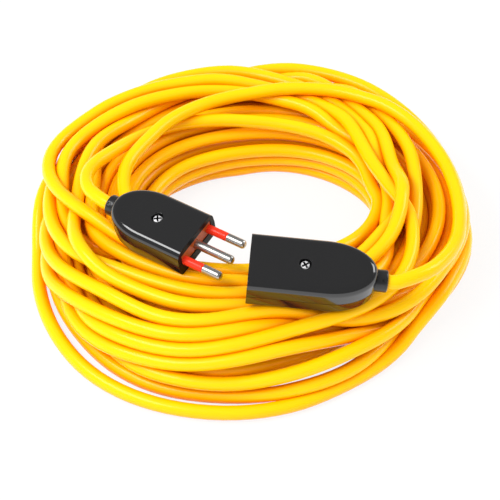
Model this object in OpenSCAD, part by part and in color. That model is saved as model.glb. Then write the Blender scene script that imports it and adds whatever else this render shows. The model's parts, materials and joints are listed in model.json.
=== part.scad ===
// Coiled extension lead: a three pin plug and a three hole portable socket
// on one round cable that is wound into a loose flat ring.
// Each connector is drawn in its own frame: x = 0 is its front face, +X runs
// towards the cable, z = 0 is the joint plane between its two shells.

/* [Cable] */
// Outside diameter of the cable's sheath
cable_d = 6.5; // [6:0.1:6.8]
// Outside diameter of one insulated core
core_d = 2.4; // [2.1:0.1:2.5]

/* [Coil] */
// Outer radius of the wound coil
coil_outer_r = 103; // [101:1:106]
// Radius of the open middle of the coil
coil_inner_r = 53; // [48:1:57]
// Height of the wound coil
coil_h = 34; // [32:1:35]
// Rounding of the coil's cross-section
coil_corner_r = 12; // [8:1:15]

/* [Connector shells] */
// Width of both connectors
body_w = 28; // [27.5:0.5:32]
// Wall of the moulded shells
shell_wall = 1.5; // [1.3:0.1:1.8]
// Thickness of the wall at the front, round the insert
front_wall = 1.8; // [1.4:0.1:2.2]
// Rounding of the long outer edges
edge_r = 2.4; // [1.5:0.1:2.8]
// Outside diameter of the cable sleeve that shows behind each shell
sleeve_d = 9.7; // [9.2:0.1:10.4]
// Length of cable sleeve that shows behind each shell
sleeve_out = 4.8; // [4:0.1:6]

/* [Plug] */
// Length of the plug's shells
plug_l = 44; // [43:0.5:47]
// Thickness of the closed plug
plug_t = 14.5; // [14.4:0.1:16]
// Length of the plug's rounded end
plug_dome = 20; // [17:1:21]
// From the plug's front face to its closing screw
plug_screw_x = 20; // [19.5:0.25:20.5]

/* [Pins] */
// Diameter of the contact pins
pin_d = 4; // [3.8:0.1:4.2]
// Distance from one pin to the next
pin_pitch = 9.5; // [9.3:0.1:9.7]
// Length of the pins in front of the face
pin_l = 19; // [17:0.5:20]
// Length of the insulating sleeves on the outer pins
pin_sleeve_l = 10; // [8:0.5:12]
// Wall of the insulating sleeves
pin_sleeve_wall = 0.5; // [0.4:0.05:0.6]

/* [Socket] */
// Length of the socket's shells
socket_l = 55; // [54:1:60]
// Thickness of the closed socket
socket_t = 16.8; // [16.6:0.1:18]
// Length of the socket's rounded end
socket_dome = 22; // [19:1:23]
// From the socket's front face to its closing screw
socket_screw_x = 23.5; // [23:0.5:24.5]
// Diameter of the holes in the socket's face
hole_d = 4.4; // [4.3:0.05:4.6]
// Wall of the contact tubes
contact_wall = 0.8; // [0.6:0.1:0.9]

/* [Safety shutter] */
// Thickness of the shutter's plate
shutter_t = 2.2; // [1.6:0.1:2.4]
// Outside diameter of the hub that the shutter turns on
hub_d = 6.4; // [6.2:0.1:6.8]
// Diameter of each round flap
flap_d = 4.6; // [4.5:0.05:4.7]
// Wire of the shutter's return spring
spring_wire = 0.4; // [0.3:0.05:0.5]

/* [Fasteners] */
// Diameter of the closing screws' thread
closing_d = 3; // [2.6:0.1:3.2]
// Diameter of the closing screws' heads
closing_head_d = 4.2; // [3.8:0.1:4.4]
// Diameter of the terminal and clamp screws
small_screw_d = 2; // [1.8:0.1:2.2]

/* [Hidden] */
// Running clearance between a moving piece and its bearing
run_gap = 0.08;
// Clearance between moulded pieces that are assembled by hand
fit_gap = 0.1;

// Places of the coil and the two connectors, and their rise above the coil
plug_rise = 11.5;
socket_rise = 16;
coil_at = [0, 6, 0];
plug_at = [-23, -45.5, coil_h + plug_rise];
plug_turn = [-12.2, -0.3, 146.5];
socket_at = [-0.5, -65, coil_h + socket_rise];
socket_turn = [17, 4.3, -3.6];

// Rings and facets
round_fn = 48;
cable_sides = 10;
core_sides = 8;
dome_step = 10;
eps = 0.01;

// Inside of the shells
plug_ceiling = plug_t / 2 - shell_wall;
socket_ceiling = socket_t / 2 - shell_wall;
cavity_w = body_w - 2 * shell_wall;
neck_r = sleeve_d / 2 + fit_gap / 2;

// Sleeve flange, counted back from the end of a shell
flange_back = 6.5;
flange_t = 1.4;
flange_r = sleeve_d / 2 + 0.8;

// Cable clamp
clamp_l = 5;
clamp_screw_y = 6.3;
clamp_foot_z = 0.7;
clamp_top_z = 4.2;
small_head_d = 3.6;
small_head_t = 1.4;
clamp_screw_down = 4;

// Closing screw, its boss and its nut
boss_r = 3.2;
screw_recess = 2.6;
recess_r = closing_head_d / 2 + 0.3;
closing_head_t = 1.6;
nut_flats = 5.4;
nut_t = 2.4;
nut_depth = 3.2;
nut_boss_r = 4.6;
nut_floor = 1.2;

// Front insert of the plug
insert_recess = 0.4;
insert_w = 2 * pin_pitch + pin_d + 0.7;
insert_top = 4.4;
insert_bottom = -2.8;
carrier_flange_t = 1.6;
carrier_lip = 0.9;
carrier_back = front_wall + fit_gap + carrier_flange_t + 2;
pin_neck_r = pin_d / 2 - pin_sleeve_wall - fit_gap / 4;
sleeve_root = 2;

// Terminals
terminal_r = pin_d / 2 + 0.7;
terminal_top = 5.1;
terminal_l = 6.8;
terminal_screw_in = 3.2;
wire_hole_r = core_d / 2 + fit_gap;
wire_depth = 5;

// Gap from the sheath's cut end to the first ring of a core
core_gap = 0.5;

// Front insert and contacts of the socket
face_w = 2 * pin_pitch + hole_d + 0.4;
face_h = 8.8;
face_flange_t = 1.2;
face_back = front_wall + fit_gap + face_flange_t;
shutter_x = face_back + 0.3;
spring_x = shutter_x + shutter_t + 0.25;
spring_turns = 2.5;
block_x = spring_x + spring_wire * (spring_turns + 1) + 0.7;
block_t = 4.4;
contact_inner_r = pin_d / 2 + 0.1;
contact_r = contact_inner_r + contact_wall;
contact_x = block_x + 0.5;
contact_open_l = 11.4;
contact_web = 1;
contact_slit = 0.5;
contact_terminal_l = 6.8;
earth_tube_l = 9.1;
earth_terminal_x = socket_screw_x + boss_r + 0.7;
earth_terminal_l = 5.8;
strap_t = 1;
strap_h = 3;
strap_y = boss_r + 0.8;
side_mouth_x = contact_x + contact_open_l + contact_web + contact_terminal_l;
earth_mouth_x = earth_terminal_x + earth_terminal_l;

// Row of pins or contacts that the shells leave room for
row_w = 2 * (pin_pitch + contact_r) + fit_gap;

// What lies in front of the cores ends here, and what is left up to the
// sleeve's flange is shared out between the cores and the cable clamp
plug_inner_x = plug_screw_x + nut_boss_r;
socket_inner_x = earth_mouth_x;
plug_room = plug_l - flange_back - plug_inner_x;
socket_room = socket_l - flange_back - socket_inner_x;
plug_sheath_x = plug_inner_x + plug_room * 0.19;
socket_sheath_x = socket_inner_x + socket_room * 0.31;
plug_clamp_x = plug_inner_x + plug_room * 0.57;
socket_clamp_x = socket_inner_x + socket_room * 0.64;

// Safety shutter: its rim and arms, and the slope of its ramps
shutter_hub_r = hub_d / 2 + run_gap;
shutter_rim = 1.2;
arm_w = 2.4;
ramp_drop = 1;

// ------------------------------------------------------------ functions

function matrix(a) =
    [[cos(a.z), -sin(a.z), 0], [sin(a.z), cos(a.z), 0], [0, 0, 1]]
    * [[cos(a.y), 0, sin(a.y)], [0, 1, 0], [-sin(a.y), 0, cos(a.y)]]
    * [[1, 0, 0], [0, cos(a.x), -sin(a.x)], [0, sin(a.x), cos(a.x)]];

// A point of a connector's own frame, in the frame of the whole lead
function placed(p, at, turn) = at + matrix(turn) * p;

function unit(v) = v / norm(v);

// Catmull-Rom curve through points, n steps a span
function curve_point(a, b, c, d, t) =
    (2 * b + (c - a) * t + (2 * a - 5 * b + 4 * c - d) * t * t
    + (3 * b - a - 3 * c + d) * t * t * t) / 2;
function curve(p, n) = let (last = len(p) - 1) concat(
    [for (i = [0:last - 1]) for (k = [0:n - 1])
        curve_point(p[max(i - 1, 0)], p[i], p[i + 1], p[min(i + 2, last)], k / n)],
    [p[last]]
);

// Direction of a path at point i
function heading(p, i) = unit(p[min(i + 1, len(p) - 1)] - p[max(i - 1, 0)]);

// One ring of points round a path
function ring(at, along, r, sides) =
    let (side = unit(cross([0, 0, 1], along)), up = cross(along, side))
    [for (k = [0:sides - 1])
        at + r * (cos((k + 0.5) * 360 / sides) * side + sin((k + 0.5) * 360 / sides) * up)];

// Outline of a connector: straight sides and a rounded end, seen from above
function outline(l, dome, inset, front) = concat(
    [[front, inset - body_w / 2]],
    [for (a = [-90:dome_step:90])
        [l - dome + (dome - inset) * cos(a), (body_w / 2 - inset) * sin(a)]],
    [[front, body_w / 2 - inset]]
);

// ------------------------------------------------------ shared modules

// Closed solid through a stack of rings with equal numbers of points
module loft(rings) {
    n = len(rings[0]);
    top = len(rings) - 1;
    polyhedron(
        points = [for (r = rings) for (p = r) p],
        faces = concat(
            [[for (i = [0:n - 1]) i]],
            [for (k = [0:top - 1]) for (i = [0:n - 1]) [k * n + i, k * n + n + i, k * n + n + (i + 1) % n]],
            [for (k = [0:top - 1]) for (i = [0:n - 1]) [k * n + i, k * n + n + (i + 1) % n, k * n + (i + 1) % n]],
            [[for (i = [n - 1:-1:0]) top * n + i]]
        )
    );
}

module tube(path, d, sides) {
    loft([for (i = [0:len(path) - 1]) ring(path[i], heading(path, i), d / 2, sides)]);
}

// A cylinder along X that starts at x
module rod(x, l, r, y = 0, z = 0) {
    translate([x, y, z]) rotate([0, 90, 0]) cylinder(h = l, r = r, $fn = round_fn);
}

// A turned piece along X from a half outline of [radius, x] points
module turned(points) {
    rotate([0, 90, 0]) rotate_extrude($fn = round_fn) polygon(points);
}

module block(x, l, w, z0, z1, y = 0) {
    translate([x, y - w / 2, z0]) cube([l, w, z1 - z0]);
}

module in_plug() {
    translate(plug_at) rotate(plug_turn) children();
}

module in_socket() {
    translate(socket_at) rotate(socket_turn) children();
}

// Half of a connector from its joint plane up, with its outer edge rounded
module half_body(l, dome, half_t) {
    levels = concat(
        [[0, 0]],
        [for (a = [0:30:90]) [half_t - edge_r + edge_r * sin(a), edge_r * (1 - cos(a))]]
    );
    loft([for (v = levels) [for (p = outline(l, dome, v[1], 0)) [p.x, p.y, v[0]]]]);
}

module cavity(l, dome, ceiling) {
    translate([0, 0, -eps])
        linear_extrude(ceiling + eps) polygon(outline(l, dome, shell_wall, front_wall));
}

// Room in the side walls for the row of terminals, on both sides of the boss
module row_room(screw_x) {
    for (side = [-1, 1])
        block(front_wall, screw_x + boss_r + 2 * terminal_l - front_wall, row_w / 2 - strap_y - strap_t - 1,
            -terminal_top, terminal_top, side * (row_w / 2 + strap_y + strap_t + 1) / 2);
}

// A shell's half of the closing joint, counted up from the joint plane
module upper_shell(l, dome, half_t, screw_x) {
    difference() {
        union() {
            difference() {
                half_body(l, dome, half_t);
                cavity(l, dome, half_t - shell_wall);
            }
            translate([screw_x, 0, 0]) cylinder(h = half_t - shell_wall / 2, r = boss_r, $fn = round_fn);
        }
        rod(l - flange_back, flange_back * 2, neck_r);
        row_room(screw_x);
        translate([screw_x, 0, -eps]) cylinder(h = half_t, r = closing_d / 2 + fit_gap, $fn = round_fn);
        translate([screw_x, 0, half_t - screw_recess])
            cylinder(h = screw_recess + eps, r = recess_r, $fn = round_fn);
        children();
    }
}

module lower_shell(l, dome, half_t, screw_x, clamp_x) {
    floor_z = shell_wall - half_t;
    difference() {
        union() {
            mirror([0, 0, 1]) difference() {
                half_body(l, dome, half_t);
                cavity(l, dome, half_t - shell_wall);
            }
            translate([screw_x, 0, floor_z - shell_wall / 2])
                cylinder(h = -floor_z + shell_wall / 2, r = boss_r, $fn = round_fn);
            translate([screw_x, 0, floor_z - shell_wall / 2])
                cylinder(h = nut_depth + nut_floor - shell_wall / 2, r = nut_boss_r, $fn = round_fn);
            for (y = [-clamp_screw_y, clamp_screw_y])
                translate([clamp_x, y, floor_z - shell_wall / 2])
                    cylinder(h = clamp_foot_z - fit_gap - floor_z + shell_wall / 2, r = 2.3, $fn = round_fn);
            block(clamp_x - 1, 2, cable_d, floor_z - shell_wall / 2, -cable_d / 2 - fit_gap);
        }
        rod(l - flange_back, flange_back * 2, neck_r);
        row_room(screw_x);
        translate([screw_x, 0, -half_t]) cylinder(h = half_t + eps, r = closing_d / 2 + fit_gap, $fn = round_fn);
        translate([screw_x, 0, -half_t - eps])
            cylinder(h = nut_depth + eps, r = (nut_flats / 2 + fit_gap) / cos(30), $fn = 6);
        for (y = [-clamp_screw_y, clamp_screw_y])
            translate([clamp_x, y, -clamp_screw_down - 0.5])
                cylinder(h = clamp_screw_down + 2, r = small_screw_d / 2 + fit_gap / 2, $fn = round_fn);
        children();
    }
}

// The sleeve's flange sits inside the shells, the rest runs out of the neck
module cable_sleeve(l) {
    lip = 0.8;
    dimple_r = 0.6;
    difference() {
        turned([
            [cable_d / 2 + fit_gap, l - flange_back], [flange_r, l - flange_back],
            [flange_r, l - flange_back + flange_t], [sleeve_d / 2, l - flange_back + flange_t],
            [sleeve_d / 2, l + sleeve_out - lip], [sleeve_d / 2 - 0.3, l + sleeve_out - 0.25],
            [sleeve_d / 2 - lip, l + sleeve_out], [cable_d / 2 + fit_gap, l + sleeve_out]
        ]);
        translate([l + sleeve_out / 2, 0, sleeve_d / 2 - 0.4])
            cylinder(h = 1, r = dimple_r, $fn = 24);
    }
}

module cable_clamp(x) {
    difference() {
        block(x - clamp_l / 2, clamp_l, 2 * clamp_screw_y + small_head_d + 0.6, clamp_foot_z, clamp_top_z);
        rod(x - clamp_l, clamp_l * 2, cable_d / 2 + fit_gap);
        for (y = [-clamp_screw_y, clamp_screw_y])
            translate([x, y, 0]) cylinder(h = clamp_top_z + 1, r = small_screw_d / 2 + fit_gap, $fn = round_fn);
    }
}

// A small cheese head screw that points down, with its head's seat at z
module small_screw(z, l) {
    slot_w = 0.5;
    slot_deep = 0.6;
    difference() {
        union() {
            translate([0, 0, z - l]) cylinder(h = l + small_head_t / 2, r = small_screw_d / 2, $fn = round_fn);
            translate([0, 0, z]) cylinder(h = small_head_t, r = small_head_d / 2, $fn = round_fn);
        }
        translate([-small_head_d, -slot_w / 2, z + small_head_t - slot_deep])
            cube([2 * small_head_d, slot_w, slot_deep + eps]);
    }
}

module clamp_screws(x) {
    for (y = [-clamp_screw_y, clamp_screw_y])
        translate([x, y, 0])
            small_screw(clamp_top_z + fit_gap / 2, clamp_top_z + clamp_screw_down);
}

// Cross-recessed screw that runs from the upper shell into the nut
module closing_screw(x, half_t) {
    seat_z = half_t - screw_recess;
    cross_w = 0.7;
    cross_l = 2.6;
    cross_deep = 0.9;
    translate([x, 0, 0]) difference() {
        union() {
            translate([0, 0, nut_floor - half_t])
                cylinder(h = seat_z + half_t - nut_floor + eps, r = closing_d / 2, $fn = round_fn);
            translate([0, 0, seat_z])
                cylinder(h = closing_head_t, r = closing_head_d / 2, $fn = round_fn);
        }
        for (a = [0, 90]) rotate([0, 0, a + 45])
            translate([-cross_l / 2, -cross_w / 2, seat_z + closing_head_t - cross_deep])
                cube([cross_l, cross_w, cross_deep + eps]);
    }
}

module closing_nut(x, half_t) {
    translate([x, 0, nut_depth - half_t - nut_t]) difference() {
        cylinder(h = nut_t, r = nut_flats / 2 / cos(30), $fn = 6);
        translate([0, 0, -eps]) cylinder(h = nut_t + 2 * eps, r = closing_d / 2 + 0.03, $fn = round_fn);
    }
}

// A core from the cut end of the sheath through hand placed points
module core(points) {
    tube(curve(points, 3), core_d, core_sides);
}

// --------------------------------------------------------------- plug

module plug_window() {
    block(-1, front_wall + 2, insert_w + 2 * fit_gap, insert_bottom - fit_gap, insert_top + fit_gap);
}

module plug_upper_shell() {
    color("#1d1e20") in_plug()
        upper_shell(plug_l, plug_dome, plug_t / 2, plug_screw_x) plug_window();
}

module plug_lower_shell() {
    color("#1d1e20") in_plug()
        lower_shell(plug_l, plug_dome, plug_t / 2, plug_screw_x, plug_clamp_x) plug_window();
}

// Insulating insert: a nose in the window, a flange behind the front wall and a body
module pin_carrier() {
    flange_x = front_wall + fit_gap;
    color("#8f2c1a") in_plug() difference() {
        union() {
            block(insert_recess, carrier_back - insert_recess, insert_w, insert_bottom, insert_top);
            block(flange_x, carrier_flange_t, min(insert_w + carrier_lip, cavity_w - 2 * fit_gap),
                insert_bottom - carrier_lip, insert_top + carrier_lip);
        }
        for (k = [-1:1]) rod(-1, carrier_back + 2, pin_d / 2 + fit_gap / 2, k * pin_pitch);
    }
}

// Terminal head of a pin: shoulder, blind wire hole and screw hole
module terminal(x, y, l) {
    screw_x = x + terminal_screw_in;
    difference() {
        rod(x, l, terminal_r, y);
        rod(x + l - wire_depth, wire_depth + 1, wire_hole_r, y);
        translate([screw_x, y, 0])
            cylinder(h = terminal_r + 1, r = small_screw_d / 2 + fit_gap / 2, $fn = round_fn);
    }
}

// Round pin with a rounded tip. Each has a groove inside the carrier, and on
// the outer pins the groove runs on forwards as the seat of their sleeve.
module pin(k, sleeved) {
    tip = 1.1;
    r = pin_d / 2;
    groove_x = sleeved ? -pin_sleeve_l : insert_recess;
    translate([0, k * pin_pitch, 0]) turned([
        [0, -pin_l], [r - tip, -pin_l], [r - tip * 0.4, 0.25 * tip - pin_l], [r, tip - pin_l],
        [r, groove_x], [pin_neck_r, groove_x], [pin_neck_r, sleeve_root], [r, sleeve_root],
        [r, carrier_back + fit_gap + eps], [0, carrier_back + fit_gap + eps]
    ]);
    terminal(carrier_back + fit_gap, k * pin_pitch, terminal_l);
}

module live_pin() {
    color("#c9c9c4") in_plug() pin(-1, true);
}

module neutral_pin() {
    color("#c9c9c4") in_plug() pin(1, true);
}

module earth_pin() {
    color("#c9c9c4") in_plug() pin(0, false);
}

module pin_sleeves() {
    r = pin_d / 2;
    bore_r = pin_neck_r + fit_gap / 4;
    lead_in = 0.7;
    color("#e23a22") in_plug() for (k = [-1, 1]) translate([0, k * pin_pitch, 0]) turned([
        [bore_r, -pin_sleeve_l], [r - 0.2, -pin_sleeve_l], [r, lead_in - pin_sleeve_l],
        [r, sleeve_root], [bore_r, sleeve_root]
    ]);
}

module pin_terminal_screws() {
    seat = terminal_r + 0.4;
    color("#d8c07a") in_plug() for (k = [-1:1])
        translate([carrier_back + fit_gap + terminal_screw_in, k * pin_pitch, 0])
            small_screw(seat, seat - core_d / 2 - 0.05);
}

module plug_cable_clamp() {
    color("#e6e3d8") in_plug() cable_clamp(plug_clamp_x);
}

module plug_clamp_screws() {
    color("#b9bcbf") in_plug() clamp_screws(plug_clamp_x);
}

module plug_closing_screw() {
    color("#d5d7da") in_plug() closing_screw(plug_screw_x, plug_t / 2);
}

module plug_closing_nut() {
    color("#b9bcbf") in_plug() closing_nut(plug_screw_x, plug_t / 2);
}

module plug_cable_sleeve() {
    color("#2c2d30") in_plug() cable_sleeve(plug_l);
}

plug_mouth_x = carrier_back + fit_gap + terminal_l;
plug_wire_x = plug_mouth_x - wire_depth + 0.4;

module plug_side_core(side) {
    y = side * pin_pitch;
    in_plug() core([
        [plug_sheath_x - core_gap, side * 1.3, -0.7], [plug_sheath_x - 1, side * 1.4, -0.7],
        [plug_sheath_x - 2.4, side * 3.4, -0.5], [plug_sheath_x - 4.6, y * 0.68, -0.2],
        [plug_sheath_x - 8, y * 0.95, 0], [plug_mouth_x + 2, y, 0], [plug_mouth_x, y, 0], [plug_wire_x, y, 0]
    ]);
}

module plug_live_core() {
    color("#7a4a24") plug_side_core(-1);
}

module plug_neutral_core() {
    color("#2a62c9") plug_side_core(1);
}

// The earth core passes beside the closing screw's boss, above the neutral core
module plug_earth_core() {
    pass_y = boss_r + core_d / 2 + 0.5;
    color("#5fae3a") in_plug() core([
        [plug_sheath_x - core_gap, 0, 1.4], [plug_sheath_x - 1.1, 0.2, 1.6],
        [plug_screw_x + boss_r + 1.6, 1.8, 2.4],
        [plug_screw_x + 2.5, pass_y - 0.6, 2.8], [plug_screw_x, pass_y, 2.6],
        [plug_screw_x - 2.6, pass_y - 0.7, 1.9], [plug_screw_x - 4.6, 2.4, 1],
        [plug_mouth_x + 0.9, 0.1, 0], [plug_mouth_x, 0, 0], [plug_wire_x, 0, 0]
    ]);
}

// ------------------------------------------------------------- socket

module socket_window() {
    block(-1, front_wall + 2, face_w + 2 * fit_gap, -face_h / 2 - fit_gap, face_h / 2 + fit_gap);
}

module socket_upper_shell() {
    color("#1d1e20") in_socket()
        upper_shell(socket_l, socket_dome, socket_t / 2, socket_screw_x) socket_window();
}

module socket_lower_shell() {
    color("#1d1e20") in_socket()
        lower_shell(socket_l, socket_dome, socket_t / 2, socket_screw_x, socket_clamp_x) socket_window();
}

// Face with three holes, a flange behind the front wall and the shutter's hub
module socket_face() {
    flange_x = front_wall + fit_gap;
    hub_l = block_x - 0.2 - face_back;
    color("#26272a") in_socket() difference() {
        union() {
            block(insert_recess, face_back - insert_recess, face_w, -face_h / 2, face_h / 2);
            block(flange_x, face_flange_t, min(face_w + 2 * carrier_lip, cavity_w - 2 * fit_gap),
                -face_h / 2 - carrier_lip, face_h / 2 + carrier_lip);
            rod(face_back - 0.2, hub_l + 0.2, hub_d / 2);
        }
        for (k = [-1:1]) rod(-1, block_x + 1, hole_d / 2, k * pin_pitch);
    }
}

// Block that holds the three contact tubes in line with the holes
module contact_block() {
    color("#d9d4c4") in_socket() difference() {
        block(block_x, block_t, min(2 * (pin_pitch + contact_r) + 0.4, cavity_w - 2 * fit_gap),
            -socket_ceiling + fit_gap, socket_ceiling - fit_gap);
        for (k = [-1:1]) rod(block_x - 1, block_t + 2, contact_r + fit_gap / 2, k * pin_pitch);
    }
}

module contact_tube(y, l) {
    slit_l = 8;
    difference() {
        rod(contact_x, l, contact_r, y);
        rod(contact_x - 1, l + 2, contact_inner_r, y);
        block(contact_x - 1, slit_l + 1, contact_slit, -contact_r - 1, contact_r + 1, y);
    }
}

module side_contact(k) {
    y = k * pin_pitch;
    web_x = contact_x + contact_open_l;
    contact_tube(y, contact_open_l);
    rod(web_x - eps, contact_web + 2 * eps, contact_r, y);
    difference() {
        rod(web_x + contact_web, contact_terminal_l, contact_r, y);
        rod(web_x + contact_web + contact_terminal_l - wire_depth, wire_depth + 1, wire_hole_r, y);
        translate([web_x + contact_web + 3.4, y, 0])
            cylinder(h = contact_r + 1, r = small_screw_d / 2 + fit_gap / 2, $fn = round_fn);
    }
}

module live_contact() {
    color("#c8a24a") in_socket() side_contact(-1);
}

module neutral_contact() {
    color("#c8a24a") in_socket() side_contact(1);
}

// The earth tube's strap runs past the closing screw's boss to its terminal
module earth_contact() {
    strap_x = block_x + block_t + 0.3;
    strap_end = earth_terminal_x + earth_terminal_l;
    color("#c8a24a") in_socket() {
        contact_tube(0, earth_tube_l);
        difference() {
            block(strap_x, contact_x + earth_tube_l - strap_x, strap_y + strap_t,
                -strap_h / 2, strap_h / 2, (strap_y + strap_t) / 2);
            rod(contact_x, earth_tube_l + 1, contact_inner_r + contact_wall / 2);
        }
        block(strap_x, strap_end - strap_x, strap_t, -strap_h / 2, strap_h / 2, strap_y + strap_t / 2);
        difference() {
            union() {
                rod(earth_terminal_x, earth_terminal_l, contact_r);
                block(earth_terminal_x, earth_terminal_l, strap_y + strap_t / 2,
                    -strap_h / 2, strap_h / 2, strap_y / 2 + strap_t / 4);
            }
            rod(strap_end - wire_depth, wire_depth + 1, wire_hole_r);
            translate([earth_terminal_x + 2.9, 0, 0])
                cylinder(h = contact_r + 1, r = small_screw_d / 2 + fit_gap / 2, $fn = round_fn);
        }
    }
}

module contact_terminal_screws() {
    seat = contact_r + 0.4;
    side_x = contact_x + contact_open_l + contact_web + 3.4;
    color("#b9bcbf") in_socket() {
        for (k = [-1, 1]) translate([side_x, k * pin_pitch, 0])
            small_screw(seat, seat - core_d / 2 - 0.05);
        translate([earth_terminal_x + 2.9, 0, 0]) small_screw(seat, seat - core_d / 2 - 0.05);
    }
}

// Plate that turns on the hub: two flaps stand behind the outer holes.
// Each flap's front is a ramp, so that two pins together push it aside.
module safety_shutter() {
    color("#e8e4d6") in_socket() difference() {
        union() {
            rod(shutter_x, shutter_t, shutter_hub_r + shutter_rim);
            for (k = [-1, 1]) {
                rod(shutter_x, shutter_t, flap_d / 2, k * pin_pitch);
                block(shutter_x, shutter_t, pin_pitch, -arm_w / 2, arm_w / 2, k * pin_pitch / 2);
            }
        }
        rod(shutter_x - 1, shutter_t + 2, shutter_hub_r);
        for (k = [-1, 1])
            translate([shutter_x, k * (pin_pitch + 0.2), -k * flap_d / 2])
                rotate([0, k * atan(ramp_drop / flap_d), 0])
                    translate([-2, -flap_d / 2, k > 0 ? 0 : -2 * flap_d])
                        cube([2, flap_d, 2 * flap_d]);
    }
}

// Torsion spring on the hub: its legs rest on the shutter's arm and the shell's floor
module shutter_spring() {
    r = hub_d / 2 + spring_wire / 2 + 0.25;
    steps = 14 * spring_turns;
    helix = [for (i = [0:steps]) let (a = 90 + i * 360 / 14)
        [spring_x + spring_wire / 2 + i / 14 * (spring_wire + 0.12), r * cos(a), r * sin(a)]];
    last = helix[steps];
    leg = [[helix[0].x, 6, r], helix[0]];
    tail = [[last.x, -6, last.z]];
    color("#b9bcbf") in_socket()
        tube_any([for (p = concat([leg[0]], helix, tail)) p], spring_wire, 6);
}

// A tube whose rings are set from the x axis, for wire wound round it
module tube_any(path, d, sides) {
    loft([for (i = [0:len(path) - 1])
        let (
            along = heading(path, i),
            side = unit(cross([1, 0, 0], along)),
            up = cross(along, side)
        )
        [for (k = [0:sides - 1])
            path[i] + d / 2 * (cos(k * 360 / sides) * side + sin(k * 360 / sides) * up)]]);
}

module socket_cable_clamp() {
    color("#e6e3d8") in_socket() cable_clamp(socket_clamp_x);
}

module socket_clamp_screws() {
    color("#b9bcbf") in_socket() clamp_screws(socket_clamp_x);
}

module socket_closing_screw() {
    color("#d5d7da") in_socket() closing_screw(socket_screw_x, socket_t / 2);
}

module socket_closing_nut() {
    color("#b9bcbf") in_socket() closing_nut(socket_screw_x, socket_t / 2);
}

module socket_cable_sleeve() {
    color("#2c2d30") in_socket() cable_sleeve(socket_l);
}

module socket_side_core(side) {
    y = side * pin_pitch;
    run = socket_sheath_x - side_mouth_x;
    in_socket() core([
        [socket_sheath_x - core_gap, side * 1.3, -0.7], [socket_sheath_x - 0.16 * run, side * 1.5, -0.7],
        [socket_sheath_x - 0.3 * run, side * 4, -0.6], [socket_sheath_x - 0.46 * run, y * 0.76, -0.3],
        [socket_sheath_x - 0.65 * run, y * 0.96, 0], [side_mouth_x + 0.18 * run, y, 0], [side_mouth_x, y, 0],
        [side_mouth_x - wire_depth + 0.4, y, 0]
    ]);
}

module socket_live_core() {
    color("#7a4a24") socket_side_core(-1);
}

module socket_neutral_core() {
    color("#2a62c9") socket_side_core(1);
}

module socket_earth_core() {
    color("#5fae3a") in_socket() core([
        [socket_sheath_x - core_gap, 0, 1.4], [socket_sheath_x - 1.8, 0, 1.4],
        [earth_mouth_x + 1.5, 0, 0.4], [earth_mouth_x, 0, 0], [earth_mouth_x - wire_depth + 0.4, 0, 0]
    ]);
}

// -------------------------------------------------------------- cable

// Points of the cable where it leaves the plug and settles into the coil
plug_tail_points = [
    [-68.5, -15.1, 45.1], [-72, -9.3, 44.4], [-74, -2, 43.2], [-74, 7, 41.5], [-71.5, 17, 39.5],
    [-67, 26, 38], [-60.5, 33.5, 36.5], [-52, 40, 34], [-43, 46, 30]
];

// Points of the cable where it leaves the socket and settles into the coil
socket_tail_points = [
    [69, -68, 45], [77, -64, 44.3], [83.5, -57.5, 43.3], [87.5, -49.5, 42], [90, -40.5, 40.5],
    [91, -31.5, 39], [91.5, -22, 37], [91.5, -12, 33.5], [91, -2, 29]
];

// Points of the outermost turn where it lies clear of the rest on the floor
loose_turn_points = [
    [-97, -22, 6], [-94.5, -38, 3.3], [-88, -55, 3.3], [-74, -79, 3.3], [-55, -95, 3.3],
    [-35, -103, 3.3], [-13, -105.75, 3.3], [9, -104, 3.3], [24, -98.5, 3.3], [38, -89, 6]
];

// The straight stretch from the sheath's cut end to just outside the sleeve
function straight(sheath_x, clamp_x, l, at, turn) = [for (x = [sheath_x, clamp_x, l - flange_back,
    l, l + sleeve_out, l + sleeve_out + 1]) placed([x, 0, 0], at, turn)];

module cable_coil() {
    color("#ffd000") translate(coil_at) rotate_extrude($fn = 96) {
        r = coil_corner_r;
        translate([coil_inner_r + r, r]) circle(r = r, $fn = round_fn);
        translate([coil_outer_r - r, r]) circle(r = r, $fn = round_fn);
        translate([coil_inner_r + r, coil_h - r]) circle(r = r, $fn = round_fn);
        translate([coil_outer_r - r, coil_h - r]) circle(r = r, $fn = round_fn);
        translate([coil_inner_r + r, 0]) square([coil_outer_r - coil_inner_r - 2 * r, coil_h]);
        translate([coil_inner_r, r]) square([coil_outer_r - coil_inner_r, coil_h - 2 * r]);
    }
}

module plug_tail() {
    inside = straight(plug_sheath_x, plug_clamp_x, plug_l, plug_at, plug_turn);
    color("#ffd000") tube(curve(concat(inside, plug_tail_points), 2), cable_d, cable_sides);
}

module socket_tail() {
    inside = straight(socket_sheath_x, socket_clamp_x, socket_l, socket_at, socket_turn);
    color("#ffd000") tube(curve(concat(inside, socket_tail_points), 2), cable_d, cable_sides);
}

module loose_turn() {
    color("#ffd000") tube(curve(loose_turn_points, 2), cable_d, cable_sides);
}

plug_upper_shell();
plug_lower_shell();
pin_carrier();
live_pin();
neutral_pin();
earth_pin();
pin_sleeves();
pin_terminal_screws();
plug_cable_clamp();
plug_clamp_screws();
plug_closing_screw();
plug_closing_nut();
plug_cable_sleeve();
plug_live_core();
plug_neutral_core();
plug_earth_core();
socket_upper_shell();
socket_lower_shell();
socket_face();
contact_block();
live_contact();
neutral_contact();
earth_contact();
contact_terminal_screws();
safety_shutter();
shutter_spring();
socket_cable_clamp();
socket_clamp_screws();
socket_closing_screw();
socket_closing_nut();
socket_cable_sleeve();
socket_live_core();
socket_neutral_core();
socket_earth_core();
cable_coil();
plug_tail();
socket_tail();
loose_turn();
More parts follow.
